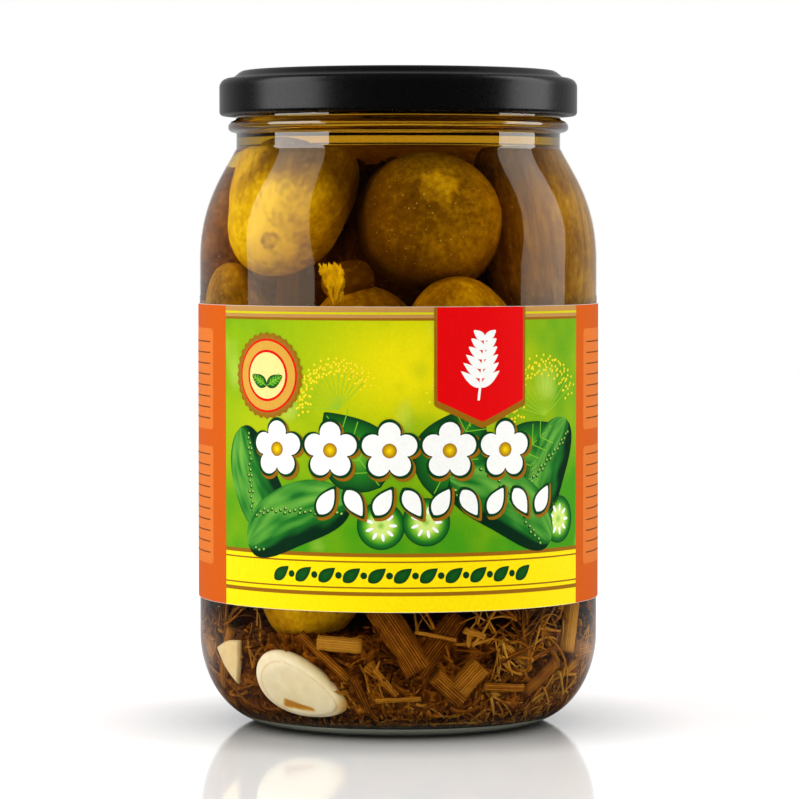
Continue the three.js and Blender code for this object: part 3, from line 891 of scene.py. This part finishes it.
def spread_stalk(index):
    shares = [(0.5 + index * step) % 1 for step in SPREAD_STEPS]
    sizes = [low + (high - low) * share for (low, high), share in zip(SPREAD_RANGES, shares)]
    angle = SPREAD_FIRST_ANGLE + SPREAD_ANGLE_RANGE * (index + 0.5) / SPREAD_STALKS
    return (angle, *sizes, 0)


def small_stalk():
    while True:
        stalk = (rng.uniform(-180, 180), *[rng.uniform(*sizes) for sizes in SMALL_RANGES])
        if not hides(stalk_path(*stalk)).any():
            return stalk


def hides(points):
    """Which points lie where the loose dill leaves the glass, or one of the named stalks, free."""
    angle = np.degrees(np.arctan2(points[..., 0], -points[..., 1]))
    z = points[..., 2]
    inside = np.zeros(angle.shape, bool)
    for start, end, low, high in CLEAR_WINDOWS:
        inside |= (angle > start) & (angle < end) & (z > low) & (z < high)
    for stalk in NAMED_STALKS:
        path = stalk_path(*stalk, steps=25)
        apart = np.linalg.norm(points[..., None, :] - path, axis=-1).min(-1)
        inside |= apart < stalk[DIAMETER] / 2 + STALK_MARGIN
    return inside


def stalk_places(stalks, steps):
    """Places on the stalks' bark: how far round, how far along, and which stalk."""
    round_it = turns(STALK_SIDES) * stalks[:, DIAMETER, None, None] / 2
    along = np.linspace(0, 1, steps)[None, :, None] * stalks[:, LENGTH, None, None]
    which = STALK_APART * np.arange(len(stalks))[:, None, None]
    return np.stack(np.broadcast_arrays(round_it, along, which), -1)


def make_stalks(material):
    stalks = NAMED_STALKS + [spread_stalk(i) for i in range(SPREAD_STALKS)]
    stalks += [small_stalk() for _ in range(SMALL_STALKS)]
    paths = np.array([stalk_path(*stalk) for stalk in stalks])
    count, steps, _ = paths.shape
    sizes = np.array([stalk[DIAMETER] for stalk in stalks])
    bends = np.cumsum(rng.normal(0, 0.25, paths.shape), axis=1) * 0.3
    paths += bends / np.maximum(sizes, 1)[:, None, None]
    radii = sizes[:, None] / 2 * rng.uniform(0.95, 1.05, (count, steps))
    points, faces = tubes(paths, radii, STALK_SIDES, STALK_RIBS, STALK_RIB_DEPTH)
    tones = rng.uniform(*STALK_TONES, count)
    tones[: len(NAMED_TONES)] = NAMED_TONES
    made = piece("dill_stalks", keep_inside(points), faces, material)
    paint(made, "stalk_tone", "FLOAT", np.repeat(tones, steps * STALK_SIDES))
    paint(made, "stalk_place", "FLOAT_VECTOR", stalk_places(np.array(stalks), steps))


def thread_paths(angle, tuft):
    """Curled paths along the glass, which lie further in at the front's left half."""
    count = len(tuft)
    z = rng.uniform(*THREAD_HEIGHTS, THREAD_CLUSTERS)[tuft]
    heading = rng.uniform(-np.pi, np.pi, THREAD_CLUSTERS)[tuft] + rng.normal(0, 0.7, count)
    length = rng.uniform(*THREAD_LENGTHS, count)
    curl = rng.normal(0, 0.9, count)
    deep = np.abs(np.degrees(angle) - DEEP_ANGLE) < DEEP_REACH
    depth = rng.uniform(*THREAD_DEPTHS, count) + np.where(deep, DEEPER, 0)
    t = np.linspace(0, 1, THREAD_POINTS)[None]
    bearing = heading[:, None] + curl[:, None] * t
    step = length[:, None] / (THREAD_POINTS - 1)
    across = np.cumsum(np.cos(bearing) * step, axis=1)
    rise = np.cumsum(np.sin(bearing) * step, axis=1)
    height = np.clip(z[:, None] + rise, FLOOR_EDGE_Z + 0.9, THREAD_TOP_Z)
    radius = inner_radius(height) - CONTENT_GAP - 0.5 - depth[:, None] * (0.4 + 0.6 * t)
    return around(angle[:, None] + across / radius, radius, height)


def make_threads(material):
    """Thin curled rays, in tufts that crowd towards the front, and lighter at the right."""
    count = THREAD_CLUSTERS * THREADS_EACH
    tuft = np.repeat(np.arange(THREAD_CLUSTERS), THREADS_EACH)
    share = rng.uniform(-1, 1, THREAD_CLUSTERS)[tuft]
    angle = np.pi * share * np.abs(share) ** 0.3
    paths = thread_paths(angle, tuft)
    free = ~hides(paths).any(1)
    radii = rng.uniform(*THREAD_RADII, count)[:, None] * np.linspace(1.1, 0.6, THREAD_POINTS)[None]
    golden = 0.16 * np.clip(np.sin(angle) * 2, 0, 1)
    tones = rng.uniform(*THREAD_TONES, THREAD_CLUSTERS)[tuft] + rng.normal(0, 0.08, count) + golden
    points, faces = tubes(paths[free], radii[free], THREAD_SIDES)
    made = piece("dill_threads", keep_inside(points), faces, material)
    paint(made, "stalk_tone", "FLOAT", np.repeat(tones[free], THREAD_POINTS * THREAD_SIDES))


def make_chips(material):
    """Seeds and leaf scraps: small flattened grains among the stalks."""
    sides = GRAIN_SIDES
    turn = turns(sides)
    outlines = [np.stack([np.cos(turn) * s, np.sin(turn) * s, np.full(sides, h)], 1) for s, h in GRAIN_RINGS]
    grain = np.concatenate([[(0, 0, -1)], *outlines, [(0, 0, 1)]])
    rings = 1 + np.arange(len(grain) - 2).reshape(-1, sides)
    faces = bands(np.array([0]), rings[0][::-1]) + stacked([*rings, np.array([len(grain) - 1])])
    height = FLOOR_EDGE_Z + 0.7 + CHIP_RISE * rng.uniform(0, 1, CHIPS) ** 1.9
    radius = inner_radius(height) - CONTENT_GAP - 1.0 - rng.uniform(*CHIP_DEPTHS, CHIPS)
    centre = around(rng.uniform(-np.pi, np.pi, CHIPS), radius, height)
    centre = centre[~hides(centre)]
    count = len(centre)
    size = np.stack([rng.uniform(low, high, count) for low, high in GRAIN_SIZES], 1)
    spin = np.linalg.qr(rng.normal(size=(count, 3, 3)))[0]
    points = np.einsum("cij,cgj->cgi", spin, grain[None] * size[:, None]) + centre[:, None]
    offsets = np.arange(count) * len(grain)
    joined = [[v + o for v in face] for o in offsets.tolist() for face in faces]
    made = piece("dill_seeds", keep_inside(points.reshape(-1, 3)), joined, material)
    paint(made, "stalk_tone", "FLOAT", np.repeat(rng.uniform(*CHIP_TONES, count), len(grain)))


def matted(place):
    """How far a tangle of fibres stands out at a place, from 0 to 1: thin curls where noise crosses zero."""
    levels = [noise.noise(place * size + Vector((0, 0, shift))) for size, shift in FIBRES]
    return max(0.0, *[1 - abs(level) / FIBRE_WIDTH for level in levels])


def make_bed_core(material):
    """A core of packed fibres under the loose stalks and threads."""
    heights = np.linspace(FLOOR_CENTRE_Z + 1, BED_TOP_Z, 48)
    share = np.clip((heights - heights[0]) / 10, 0, 1)
    side = list(zip(heel_radius(heights) - BED_INSET * (0.45 + 0.55 * share), heights))
    rim = side[-1][0]
    top = [(rim * s, BED_TOP_Z + BED_RISE * (1 - s)) for s in np.linspace(0.98, 0, 24)]
    points, faces = turned([(0, heights[0]), (20, heights[0])] + side + top, CORE_SIDES)
    fibres = np.array([matted(Vector(p)) for p in points])
    lumps = noise_at(points, 0.3)
    points *= (1 + 0.025 * lumps + 0.025 * fibres)[:, None]
    made = piece("dill_core", keep_inside(points), faces, material, ["dill_bed"])
    paint(made, "stalk_tone", "FLOAT", 0.33 + 0.34 * fibres + 0.2 * lumps)


# Garlic


def garlic(name, spec, material, solid):
    """An egg or a three-cornered fin, with its side next to the glass cut flat, as in the solids."""
    lift = np.linspace(-np.pi / 2, np.pi / 2, GARLIC_SIDES + 1)[1:-1]
    high, angle = np.meshgrid(lift, turns(GARLIC_SIDES), indexing="ij")
    ball = np.stack([np.sin(high), np.cos(high) * np.cos(angle), np.cos(high) * np.sin(angle)], -1)
    ball = np.concatenate([ball.reshape(-1, 3), [(-1, 0, 0), (1, 0, 0)]])
    x, y, z = ball.T
    over = np.maximum(z - GARLIC_FACE + GARLIC_EDGE, 0)
    z = np.where(over > 0, GARLIC_FACE - GARLIC_EDGE * np.exp(-over / GARLIC_EDGE), z)
    stain = garlic_stain(x, y, ball[:, 2]) if spec["taper"] else np.full(len(x), WEDGE_STAIN)
    third = 2 * np.pi / 3
    triangle = 1 / np.cos(np.arctan2(y, x) % third - third / 2)
    spread = 1 + spec["corners"] * (triangle - 1.5)
    local = [
        x * spread * spec["length"] / 2,
        y * spread * spec["width"] / 2 * (1 - spec["taper"] * x),
        (z - 0.1 * np.clip(stain - 0.3, 0, 1)) * spec["thickness"] / 2,
    ]
    axes, centre = wall_frame(spec["angle"], spec["z"], spec["inset"], spec["slope"])
    points = np.stack(local, 1) @ axes + centre
    made = piece(name, keep_inside(points), capped(high.shape), material, [solid])
    paint(made, "stain", "FLOAT", stain)


def garlic_stain(x, y, depth):
    """A brown slot near the lower edge of the face, a fine line inside the edge and a brown tip."""
    half = 0.16 - 0.16 * np.clip(x + 0.1, 0, 1)
    along = np.clip((0.36 - np.abs(x - 0.06)) / 0.06, 0, 1)
    slot = along * np.clip((half - np.abs(y + 0.56 - 0.1 * x)) / 0.05, 0, 1)
    ring = np.exp(-(((np.hypot(x, y) - 0.84) / 0.018) ** 2))
    tip = np.clip((x - 0.74) / 0.24, 0, 1)
    return np.where(depth > 0.2, 0.7 * slot + 0.22 * ring, 0) + 0.36 * tip


# Label


class Print:
    """Flat shapes of ink on the label, each a little proud of what it lies on."""

    def __init__(self):
        self.points, self.faces, self.inks = [], [], []
        self.count = 0

    def lay(self, grid, inks, layer, closed):
        """Adds rows of points, given as distance round the label and height, joined row to row."""
        rows, columns, _ = grid.shape
        radius = LABEL_OUTER + PRINT_PROUD + PRINT_STEP * layer
        flat = grid.reshape(-1, 2)
        self.points.append(around(flat[:, 0] / LABEL_OUTER, radius, flat[:, 1]))
        self.inks.append(np.broadcast_to(inks, (rows, columns, 3)).reshape(-1, 3))
        index = np.arange(rows * columns).reshape(rows, columns) + self.count
        here = index if closed else index[:, :-1]
        after = np.roll(index, -1, axis=1) if closed else index[:, 1:]
        quads = np.stack([here[:-1], after[:-1], after[1:], here[1:]], -1).reshape(-1, 4)
        self.faces += quads.tolist()
        self.count += rows * columns

    def field(self, left, right, low, high, ink, layer=0):
        """A rectangle; ink is a colour, or a function of the place that gives one."""
        columns = max(2, int((right - left) / PRINT_COLUMN) + 1)
        rows = max(2, int((high - low) / PRINT_ROW) + 1)
        u, z = np.meshgrid(np.linspace(left, right, columns), np.linspace(low, high, rows))
        inks = ink(u, z) if callable(ink) else np.array(ink)
        self.lay(np.stack([u, z], -1), inks, layer, False)

    def blot(self, centre, outline, inks, layer):
        """A closed outline filled in rings to its centre; inks run from the edge to the centre."""
        outline = np.asarray(outline, float)
        centre = np.asarray(centre, float)
        size = np.abs(outline - centre).max()
        rows = max(len(inks), int(size / PRINT_ROW) + 2)
        share = np.linspace(1, 0.001, rows)[:, None, None]
        grid = centre + (outline - centre)[None] * share
        stops = np.linspace(0, 1, len(inks))
        colours = [np.interp(1 - share[:, 0, 0], stops, [ink[c] for ink in inks]) for c in range(3)]
        self.lay(grid, np.stack(colours, -1)[:, None], layer, True)

    def spot(self, centre, half_width, half_height, inks, layer, tilt=0.0, steps=48):
        self.blot(centre, ellipse(centre, half_width, half_height, tilt, steps), inks, layer)

    def line(self, path, width, ink, layer):
        path = np.asarray(path, float)
        along = np.gradient(path, axis=0)
        along /= np.linalg.norm(along, axis=1, keepdims=True)
        side = np.stack([-along[:, 1], along[:, 0]], 1) * np.asarray(width, float).reshape(-1, 1) / 2
        self.lay(np.stack([path + side, path - side]), np.array(ink), layer, False)


def ellipse(centre, half_width, half_height, tilt=0.0, steps=48):
    turn = turns(steps)
    return turned_by(np.stack([half_width * np.cos(turn), half_height * np.sin(turn)], 1), tilt, centre)


def rounded_box(centre, half_width, half_height, corner):
    """A rectangle with round corners, with points close enough together to follow the label's curve."""
    path = []
    for turn, (u, z) in zip((0, 90, 180, 270), ((1, 1), (-1, 1), (-1, -1), (1, -1))):
        angles = np.radians(np.linspace(turn, turn + 90, 7))
        middle = np.array([u * (half_width - corner), z * (half_height - corner)])
        path.append(middle + corner * np.stack([np.cos(angles), np.sin(angles)], 1))
    return evenly(np.concatenate(path)) + centre


def evenly(outline, spacing=PRINT_COLUMN):
    """A closed outline with its points at an even spacing."""
    closed = np.concatenate([outline, outline[:1]])
    length = np.concatenate([[0], np.cumsum(np.linalg.norm(np.diff(closed, axis=0), axis=1))])
    places = np.linspace(0, length[-1], max(12, int(length[-1] / spacing)), endpoint=False)
    return np.stack([np.interp(places, length, closed[:, axis]) for axis in (0, 1)], 1)


ORANGE = srgb(206, 88, 2)
PALE_ORANGE = srgb(220, 116, 40)
TAN = srgb(186, 138, 74)
YELLOW = srgb(250, 222, 0)
GOLD = srgb(150, 98, 10)
PALE_GOLD = srgb(214, 160, 60)
RED = srgb(222, 0, 4)
DARK_GREEN = srgb(8, 62, 24)
MID_GREEN = srgb(34, 124, 30)
LIGHT_GREEN = srgb(120, 186, 40)
PALE_GREEN = srgb(206, 228, 120)
LIME = srgb(136, 176, 2)
SUN = srgb(232, 216, 2)
WHITE = srgb(244, 244, 240)
BUD = srgb(226, 200, 0)
PALE_BUD = srgb(250, 236, 60)
CREAM = srgb(246, 222, 140)
FRONT_LEFT = -48.2
FRONT_RIGHT = 50.9
BACK_EDGE = math.pi * LABEL_OUTER
GARLAND_Z = 37.6
SPRIG_Z = 54.5
BLOSSOM_Z = 66.5
# Motifs on the front: foot, reach and tilt; then place, length, width, tilt and layer
UMBELS = [((17, 72), 13, 70), ((38, 74), 12, 100), ((-14, 76), 10, 112)]
LEAVES = [((-4, 58), 22, 17, 128, 1), ((8, 56), 24, 19, 62, 1), ((26, 62), 18, 13, 34, 3)]
WHOLE_GHERKINS = [
    ((39, 62), 13, 6.8, 64, 3),
    ((27, 54), 16, 7.4, -28, 6),
    ((-37, 58), 14, 7.2, 118, 3),
    ((-26, 51), 15, 7.2, 22, 6),
]


def blend(first, second, share):
    """Mixes two colours, or grids of colours, by a grid of shares from 0 to 1."""
    first, second = np.asarray(first), np.asarray(second)
    return first + (second - first) * np.clip(share, 0, 1)[..., None]


def cloud(u, z, size, seed):
    """Smooth noise over a grid of places."""
    flat = [(a / size, b / size, seed) for a, b in zip(u.ravel(), z.ravel())]
    return noise_at(flat).reshape(u.shape)


def meadow(u, z):
    """The front's soft ground: a yellow glow, lime round it and blurred green growth at foot and sides."""
    glow = np.exp(-(((u - 4) / 22) ** 2) - ((z - 86) / 15) ** 2)
    glow = glow + 0.3 * np.exp(-(((u + 34) / 13) ** 2) - ((z - 72) / 9) ** 2)
    growth = 1.1 * np.clip((70 - z) / 26, 0, 1) + 0.5 * np.clip((u - 24) / 20, 0, 1)
    growth = growth + 0.75 * cloud(u, z, 11, 2.5) + 0.35 * cloud(u, z, 4, 7.5)
    ink = blend(np.broadcast_to(LIME, (*u.shape, 3)), SUN, glow)
    ink = blend(ink, srgb(66, 150, 14), 0.8 * growth)
    return blend(ink, srgb(196, 218, 90), 1.6 * cloud(u, z, 9, 31.5) - 0.7)


def turned_by(places, tilt, centre):
    """Flat places turned by an angle in degrees and moved to a centre."""
    tilt = math.radians(tilt)
    spin = np.array([[math.cos(tilt), math.sin(tilt)], [-math.sin(tilt), math.cos(tilt)]])
    return np.asarray(places, float) @ spin + centre


def leaf_outline(length, width):
    t = np.linspace(0, 1, 25)
    half = width / 2 * np.sin(np.pi * t**0.75) ** 0.9
    return evenly(np.stack([np.append(t, t[-2:0:-1]) * length, np.append(half, -half[-2:0:-1])], 1), 0.5)


def leaf(sheet, base, length, width, tilt, layer):
    """A green leaf with a pale rib and side ribs."""
    outline = turned_by(leaf_outline(length, width), tilt, base)
    middle = turned_by([(0.45 * length, 0)], tilt, base)[0]
    sheet.blot(middle, outline, [DARK_GREEN, MID_GREEN, LIGHT_GREEN], layer)
    ribs = [[(0.03 * length, 0), (0.95 * length, 0)]]
    for share in np.linspace(0.2, 0.7, 4):
        for side in (-1, 1):
            ribs.append([(share * length, 0), ((share + 0.16) * length, side * 0.3 * width)])
    for rib in ribs:
        sheet.line(np.linspace(*turned_by(rib, tilt, base), 6), 0.22, LIGHT_GREEN, layer + 1)


def whole_gherkin(sheet, centre, half_length, half_width, tilt, layer):
    """A fresh gherkin: dark, lit along its upper side, with pale streaks and warts."""
    along, across = np.meshgrid(np.linspace(-1, 1, 61), np.linspace(-1, 1, 25))
    half = half_width * np.sqrt(1 - np.abs(along) ** 2.8) + 0.01
    places = np.stack([along * half_length, across * half - 0.12 * half_length * along**2], -1)
    streaks = cloud(along * 2.2 + centre[0], across * 5, 1, centre[1])
    light = 0.42 - 0.5 * (across - 0.35) ** 2 + 0.35 * streaks
    ink = blend(np.broadcast_to(srgb(2, 44, 20), (*along.shape, 3)), srgb(30, 126, 34), 2.2 * light + 0.3)
    ink = blend(ink, srgb(128, 190, 70), 1.7 * light - 0.35)
    sheet.lay(turned_by(places.reshape(-1, 2), tilt, centre).reshape(places.shape), ink, layer, False)
    for index in range(26):
        share = (index * 0.618) % 1 * 1.7 - 0.85
        row = (index * 0.377 + 0.2) % 1 * 1.5 - 0.75
        up = row * half_width * math.sqrt(1 - abs(share) ** 2.8) - 0.12 * half_length * share**2
        wart = turned_by([(share * half_length, up)], tilt, centre)[0]
        sheet.spot(wart - (0.12, 0.16), 0.5, 0.42, [DARK_GREEN], layer + 1, tilt, 12)
        sheet.spot(wart, 0.36, 0.3, [MID_GREEN, PALE_GREEN], layer + 2, tilt, 12)


def slice_of_gherkin(sheet, centre, radius, layer):
    rings = [DARK_GREEN, MID_GREEN, LIGHT_GREEN, PALE_GREEN, PALE_GREEN, LIGHT_GREEN]
    sheet.spot(centre, radius, radius, rings, layer)
    for turn in np.arange(9) * 40:
        seed = turned_by([(0.5 * radius, 0)], turn, centre)[0]
        sheet.spot(seed, 0.17 * radius, 0.07 * radius, [WHITE], layer + 1, turn, 12)


def umbel(sheet, foot, reach, tilt, layer):
    """A dill flower: thin rays from one point, each with a spray of yellow buds."""
    for ray in np.linspace(-66, 66, 13):
        length = reach * (1 - 0.1 * (ray / 66) ** 2)
        tip = turned_by([(length, 0)], tilt + ray, foot)[0]
        sheet.line(np.linspace(foot, tip, 8), 0.2, srgb(150, 190, 40), layer)
        for index in range(9):
            bud = turned_by([(0.55 * math.sqrt(index) * reach / 7, 0)], 137.5 * index, tip)[0]
            sheet.spot(bud, 0.34, 0.34, [BUD, PALE_BUD], layer + 1, 0, 8)


def blossom_outline(radius):
    turn = np.linspace(0, 2 * np.pi, 121)[:-1]
    reach = radius * (0.62 + 0.38 * np.abs(np.cos(2.5 * turn)) ** 0.7)
    return evenly(np.stack([-reach * np.sin(turn), reach * np.cos(turn)], 1), 0.5)


def outlined(sheet, outline, centre, layer):
    """A white shape with a dark edge over a gold shadow."""
    centre = np.asarray(centre, float)
    size = np.abs(outline).max()
    steps = [(0.95, (0.45, -0.5), GOLD), (0.75, (0, 0), DARK_GREEN), (0, (0, 0), WHITE)]
    for step, (grow, shift, ink) in enumerate(steps):
        sheet.blot(centre + shift, outline * (1 + grow / size) + centre + shift, [ink], layer + step)


def print_fields(sheet):
    low, high = LABEL_LOW_Z + 0.05, LABEL_HIGH_Z - 0.05
    sheet.field(-BACK_EDGE, FRONT_LEFT, low, high, ORANGE)
    sheet.field(FRONT_RIGHT, BACK_EDGE, low, high, ORANGE)
    bars = [
        (low, 42.3, YELLOW, 0),
        (42.3, 96.8, meadow, 0),
        (96.8, high, TAN, 0),
        (97.9, 98.4, srgb(206, 196, 10), 1),
        (96.5, 97.1, GOLD, 1),
        (41.9, 42.8, GOLD, 1),
        (40.6, 40.95, GOLD, 1),
        (34.6, 34.95, GOLD, 1),
        (32.9, 33.8, GOLD, 1),
    ]
    seam = LABEL_OVERLAP * LABEL_OUTER / 2
    sheet.field(BACK_EDGE - seam, BACK_EDGE + seam, low, high, ORANGE, SEAM_LAYER)
    sheet.field(BACK_EDGE + seam - SEAM_EDGE, BACK_EDGE + seam, low, high, WHITE, SEAM_LAYER + 1)
    for bottom, top, ink, layer in bars:
        sheet.field(FRONT_LEFT, FRONT_RIGHT, bottom, top, ink, layer)


def print_band(sheet):
    """A garland along the yellow band."""
    for index, u in enumerate(np.linspace(-29, 31, 21)):
        if index % 2:
            sheet.spot((u, GARLAND_Z), 0.8, 0.8, [DARK_GREEN], 1, 0, 16)
        else:
            outline = turned_by(leaf_outline(5.2, 2.9) - (2.4, 0), 38, (u, GARLAND_Z))
            sheet.blot((u, GARLAND_Z), outline, [DARK_GREEN, srgb(16, 92, 20)], 1)


def print_flag(sheet, centre):
    """A red hanging flag with a gold hem and a white sprig."""
    centre = np.array(centre, float)
    shape = np.array([(-11, 14), (11, 14), (11, -8), (0, -13), (-11, -8)], float)
    for grow, ink, layer in ((0.7, GOLD, 9), (0, RED, 10)):
        wide = shape * (1 + grow / 11) - (0, grow)
        wide[:2, 1] = LABEL_HIGH_Z - 0.1 - centre[1]
        sheet.blot(centre, evenly(wide) + centre, [ink], layer)
    sheet.line(centre + np.stack([np.linspace(-1, 0.8, 12), np.linspace(-8, 7, 12)], 1), 0.6, WHITE, 11)
    for index, height in enumerate(np.linspace(-5, 6, 6)):
        for side in (-1, 1):
            base = centre + (0.1 * height, height)
            outline = turned_by(leaf_outline(6.2 - 0.5 * index, 2.0), 90 - side * 52, base)
            sheet.blot(outline.mean(0), outline, [WHITE], 12)


def print_seal(sheet, centre):
    """A round gold seal with a toothed edge and two leaves in its middle."""
    centre = np.array(centre, float)
    teeth = 1 + 0.06 * np.abs(((np.arange(192) * 32 / 192) % 1) * 2 - 1)
    sheet.blot(centre, ellipse((0, 0), 9.6, 9.6, 0, 192) * teeth[:, None] + centre, [GOLD, PALE_GOLD], 9)
    for layer, (radius, ink) in enumerate(((8.6, RED), (8.1, PALE_GOLD), (6.0, RED), (5.4, CREAM))):
        sheet.spot(centre, radius, radius, [ink], 10 + layer, 0, 72)
    for tilt in (28, 152):
        leaf(sheet, centre - (0, 2.4), 5.4, 3.0, tilt, 14)


def print_motifs(sheet):
    for place in UMBELS:
        umbel(sheet, *place, 1)
    for place in LEAVES:
        leaf(sheet, *place)
    for place in WHOLE_GHERKINS:
        whole_gherkin(sheet, *place)
    for index, centre in enumerate(((-4, 49.2), (6.5, 50), (43, 49.5))):
        slice_of_gherkin(sheet, centre, 5.6, 3 + 2 * (index % 2))
    for u in np.linspace(-30, 26, 5):
        outlined(sheet, blossom_outline(6.6), (u, BLOSSOM_Z), 9)
        sheet.spot((u, BLOSSOM_Z), 1.7, 1.7, [GOLD, srgb(250, 214, 0)], 12, 0, 24)
    for index, u in enumerate(np.linspace(-17, 37, 9)):
        outline = turned_by(leaf_outline(7.0, 4.0) - (3.3, 0), 58 - 116 * (index % 2), (0, 0))
        outlined(sheet, outline, (u, SPRIG_Z), 9)
    print_flag(sheet, (20, 86))
    print_seal(sheet, (-33, 83.5))


def print_panels(sheet):
    """Pale boxes with fine rules on the orange sides and back."""
    for side in (-1, 1):
        for u, z, half_width, half_height in ((68, 82, 13, 12), (68, 52, 13, 14), (112, 66, 20, 27)):
            centre = (side * u, z)
            box = rounded_box(centre, half_width, half_height, 1)
            sheet.blot(centre, box, [PALE_ORANGE], 1)
            for line in np.arange(-half_height + 2.5, half_height - 2, 2.6):
                left, right = centre[0] - half_width + 2, centre[0] + half_width - 2
                sheet.field(left, right, z + line, z + line + 0.3, srgb(120, 62, 16), 2)


def make_label():
    profile = upright(LABEL_OUTER, LABEL_LOW_Z, LABEL_HIGH_Z, 8)
    profile += upright(LABEL_INNER, LABEL_LOW_Z, LABEL_HIGH_Z, 8)[::-1]
    points, faces = turned(profile + profile[:1], 360)
    piece("label_paper", points, faces, paper_material("label_paper"), ["label"])
    sheet = Print()
    print_fields(sheet)
    print_band(sheet)
    print_motifs(sheet)
    print_panels(sheet)
    printed = paper_material("label_ink", "ink")
    ink = piece("label_print", np.concatenate(sheet.points), sheet.faces, printed)
    colours = np.concatenate(sheet.inks)
    paint(ink, "ink", "FLOAT_COLOR", np.hstack([colours, np.ones((len(colours), 1))]))


# Stage


def painted_floor_reflection(tree, place):
    """A painted reflection: the glow that reflections show in place of the floor, near the jar by how far
    back, far off by direction.
    """
    away = node(tree, "VectorMath", {0: place}, operation="LENGTH").outputs["Value"]
    bearing = node(tree, "VectorMath", {0: place}, operation="NORMALIZE").outputs["Vector"]
    near = ramp(tree, part_of(tree, place, "Y"), (0.0, 0.02), (0.08, 0.6))
    far = ramp(tree, part_of(tree, bearing, "Y"), *MIRRORED_ROOM)
    return colour_mix(tree, ramp(tree, away, (0.1, 0), (0.3, 1)), near, far)


def floor_material():
    """White with a faint polish, with painted shade where the jar touches it, and a painted glow for what
    reflections show of it.
    """
    material, tree = new_material("pale_floor")
    shader = tree.nodes["Principled BSDF"]
    place = object_place(tree)
    shade = ramp(tree, fine_noise(tree, place, 40.0), (0.3, 0.94), (0.7, 0.96))
    # Painted shade: ambient occlusion darkens the floor's colour near the jar
    painted_contact_shade = node(tree, "AmbientOcclusion", {"Color": shade, "Distance": 0.03}).outputs["Color"]
    feed(tree, shader, {"Base Color": painted_contact_shade, "Roughness": 0.07, "Specular IOR Level": 0.25})
    path = node(tree, "LightPath").outputs
    # Painted reflection: reflected rays see this glow instead of the lit floor
    painted_reflection_glow = node(tree, "Emission", {"Color": painted_floor_reflection(tree, place)}).outputs[0]
    either = shader_mix(tree, path["Is Glossy Ray"], shader.outputs[0], painted_reflection_glow)
    clear = shader_mix(tree, path["Is Transmission Ray"], either, shader.outputs[0])
    feed(tree, tree.nodes["Material Output"], {"Surface": clear})
    return material


def make_floor():
    mesh = bpy.data.meshes.new("floor")
    half = FLOOR_HALF_SIZE
    corners = [(-half, -half, 0), (half, -half, 0), (half, half, 0), (-half, half, 0)]
    mesh.from_pydata(corners, [], [(0, 1, 2, 3)])
    mesh.materials.append(floor_material())
    floor = placed("floor", mesh)


def make_softbox(name, azimuth, width, roll, radiance):
    """A soft lamp that faces the jar, at an angle round it from the front, rolled on its axis."""
    light = bpy.data.lights.new(name, "AREA")
    light.shape = "RECTANGLE"
    light.size = width
    light.size_y = SOFTBOX_HEIGHT
    light.energy = radiance * math.pi * width * SOFTBOX_HEIGHT
    made = placed(name, light)
    angle, roll = math.radians(azimuth), math.radians(roll)
    made.location = (SOFTBOX_DISTANCE * math.sin(angle), -SOFTBOX_DISTANCE * math.cos(angle), SOFTBOX_LIFT)
    facing = (Vector((0, 0, SOFTBOX_LIFT)) - made.location).to_track_quat("-Z", "Y")
    made.location -= facing @ Vector(((SOFTBOX_LIFT - ROLL_ABOUT) * math.tan(roll), 0, 0))
    made.rotation_euler = (facing @ Quaternion((0, 0, 1), roll)).to_euler()


def background(tree, colour, strength=1.0):
    return node(tree, "Background", {"Color": colour, "Strength": strength}).outputs[0]


def make_world():
    """A white studio, lit from above. Glass mirrors a dark room, and shows a backdrop with dim sides."""
    world = bpy.data.worlds.new("studio")
    bpy.context.scene.world = world
    world.use_nodes = True
    tree = world.node_tree
    direction = node(tree, "TexCoord").outputs["Generated"]
    back = part_of(tree, direction, "Y")
    upward = part_of(tree, direction, "Z")
    seen = tree.nodes["Background"]
    feed(tree, seen, {"Color": (1, 1, 1, 1)})
    fill = background(tree, ramp(tree, upward, (0.0, 0.4), (1.0, 1)), FILL_STRENGTH)
    room = background(tree, ramp(tree, back, *MIRRORED_ROOM, BACKDROP))
    behind = background(tree, ramp(tree, back, *ROOM_THROUGH_GLASS, BACKDROP))
    path = node(tree, "LightPath").outputs
    soft = shader_mix(tree, path["Is Diffuse Ray"], seen.outputs[0], fill)
    gloss = shader_mix(tree, path["Is Glossy Ray"], soft, room)
    clear = shader_mix(tree, path["Is Transmission Ray"], gloss, behind)
    feed(tree, tree.nodes["World Output"], {"Surface": clear})


def make_camera():
    data = bpy.data.cameras.new("camera")
    data.lens = CAMERA_LENS
    data.sensor_width = 36
    data.clip_end = 50
    camera = placed("camera", data)
    camera.location = [c * MM for c in CAMERA_AT]
    camera.rotation_euler = (math.pi / 2 - CAMERA_TILT, 0, 0)
    bpy.context.scene.camera = camera


def make_stage():
    scene = bpy.context.scene
    scene.view_settings.view_transform = "Standard"
    scene.cycles.caustics_reflective = False
    scene.cycles.caustics_refractive = False
    make_floor()
    make_world()
    make_camera()
    for name, sizes in SOFTBOXES.items():
        make_softbox(name, *sizes)


make_glass()
make_brine()
make_lid()
make_label()
make_gherkins()
dill = dill_material()
make_bed_core(dill)
make_stalks(dill)
make_threads(dill)
make_chips(dill)
garlic_flesh = garlic_material()
garlic("clove", CLOVE, garlic_flesh, "garlic_clove")
garlic("wedge", WEDGE, garlic_flesh, "garlic_wedge")
make_stage()
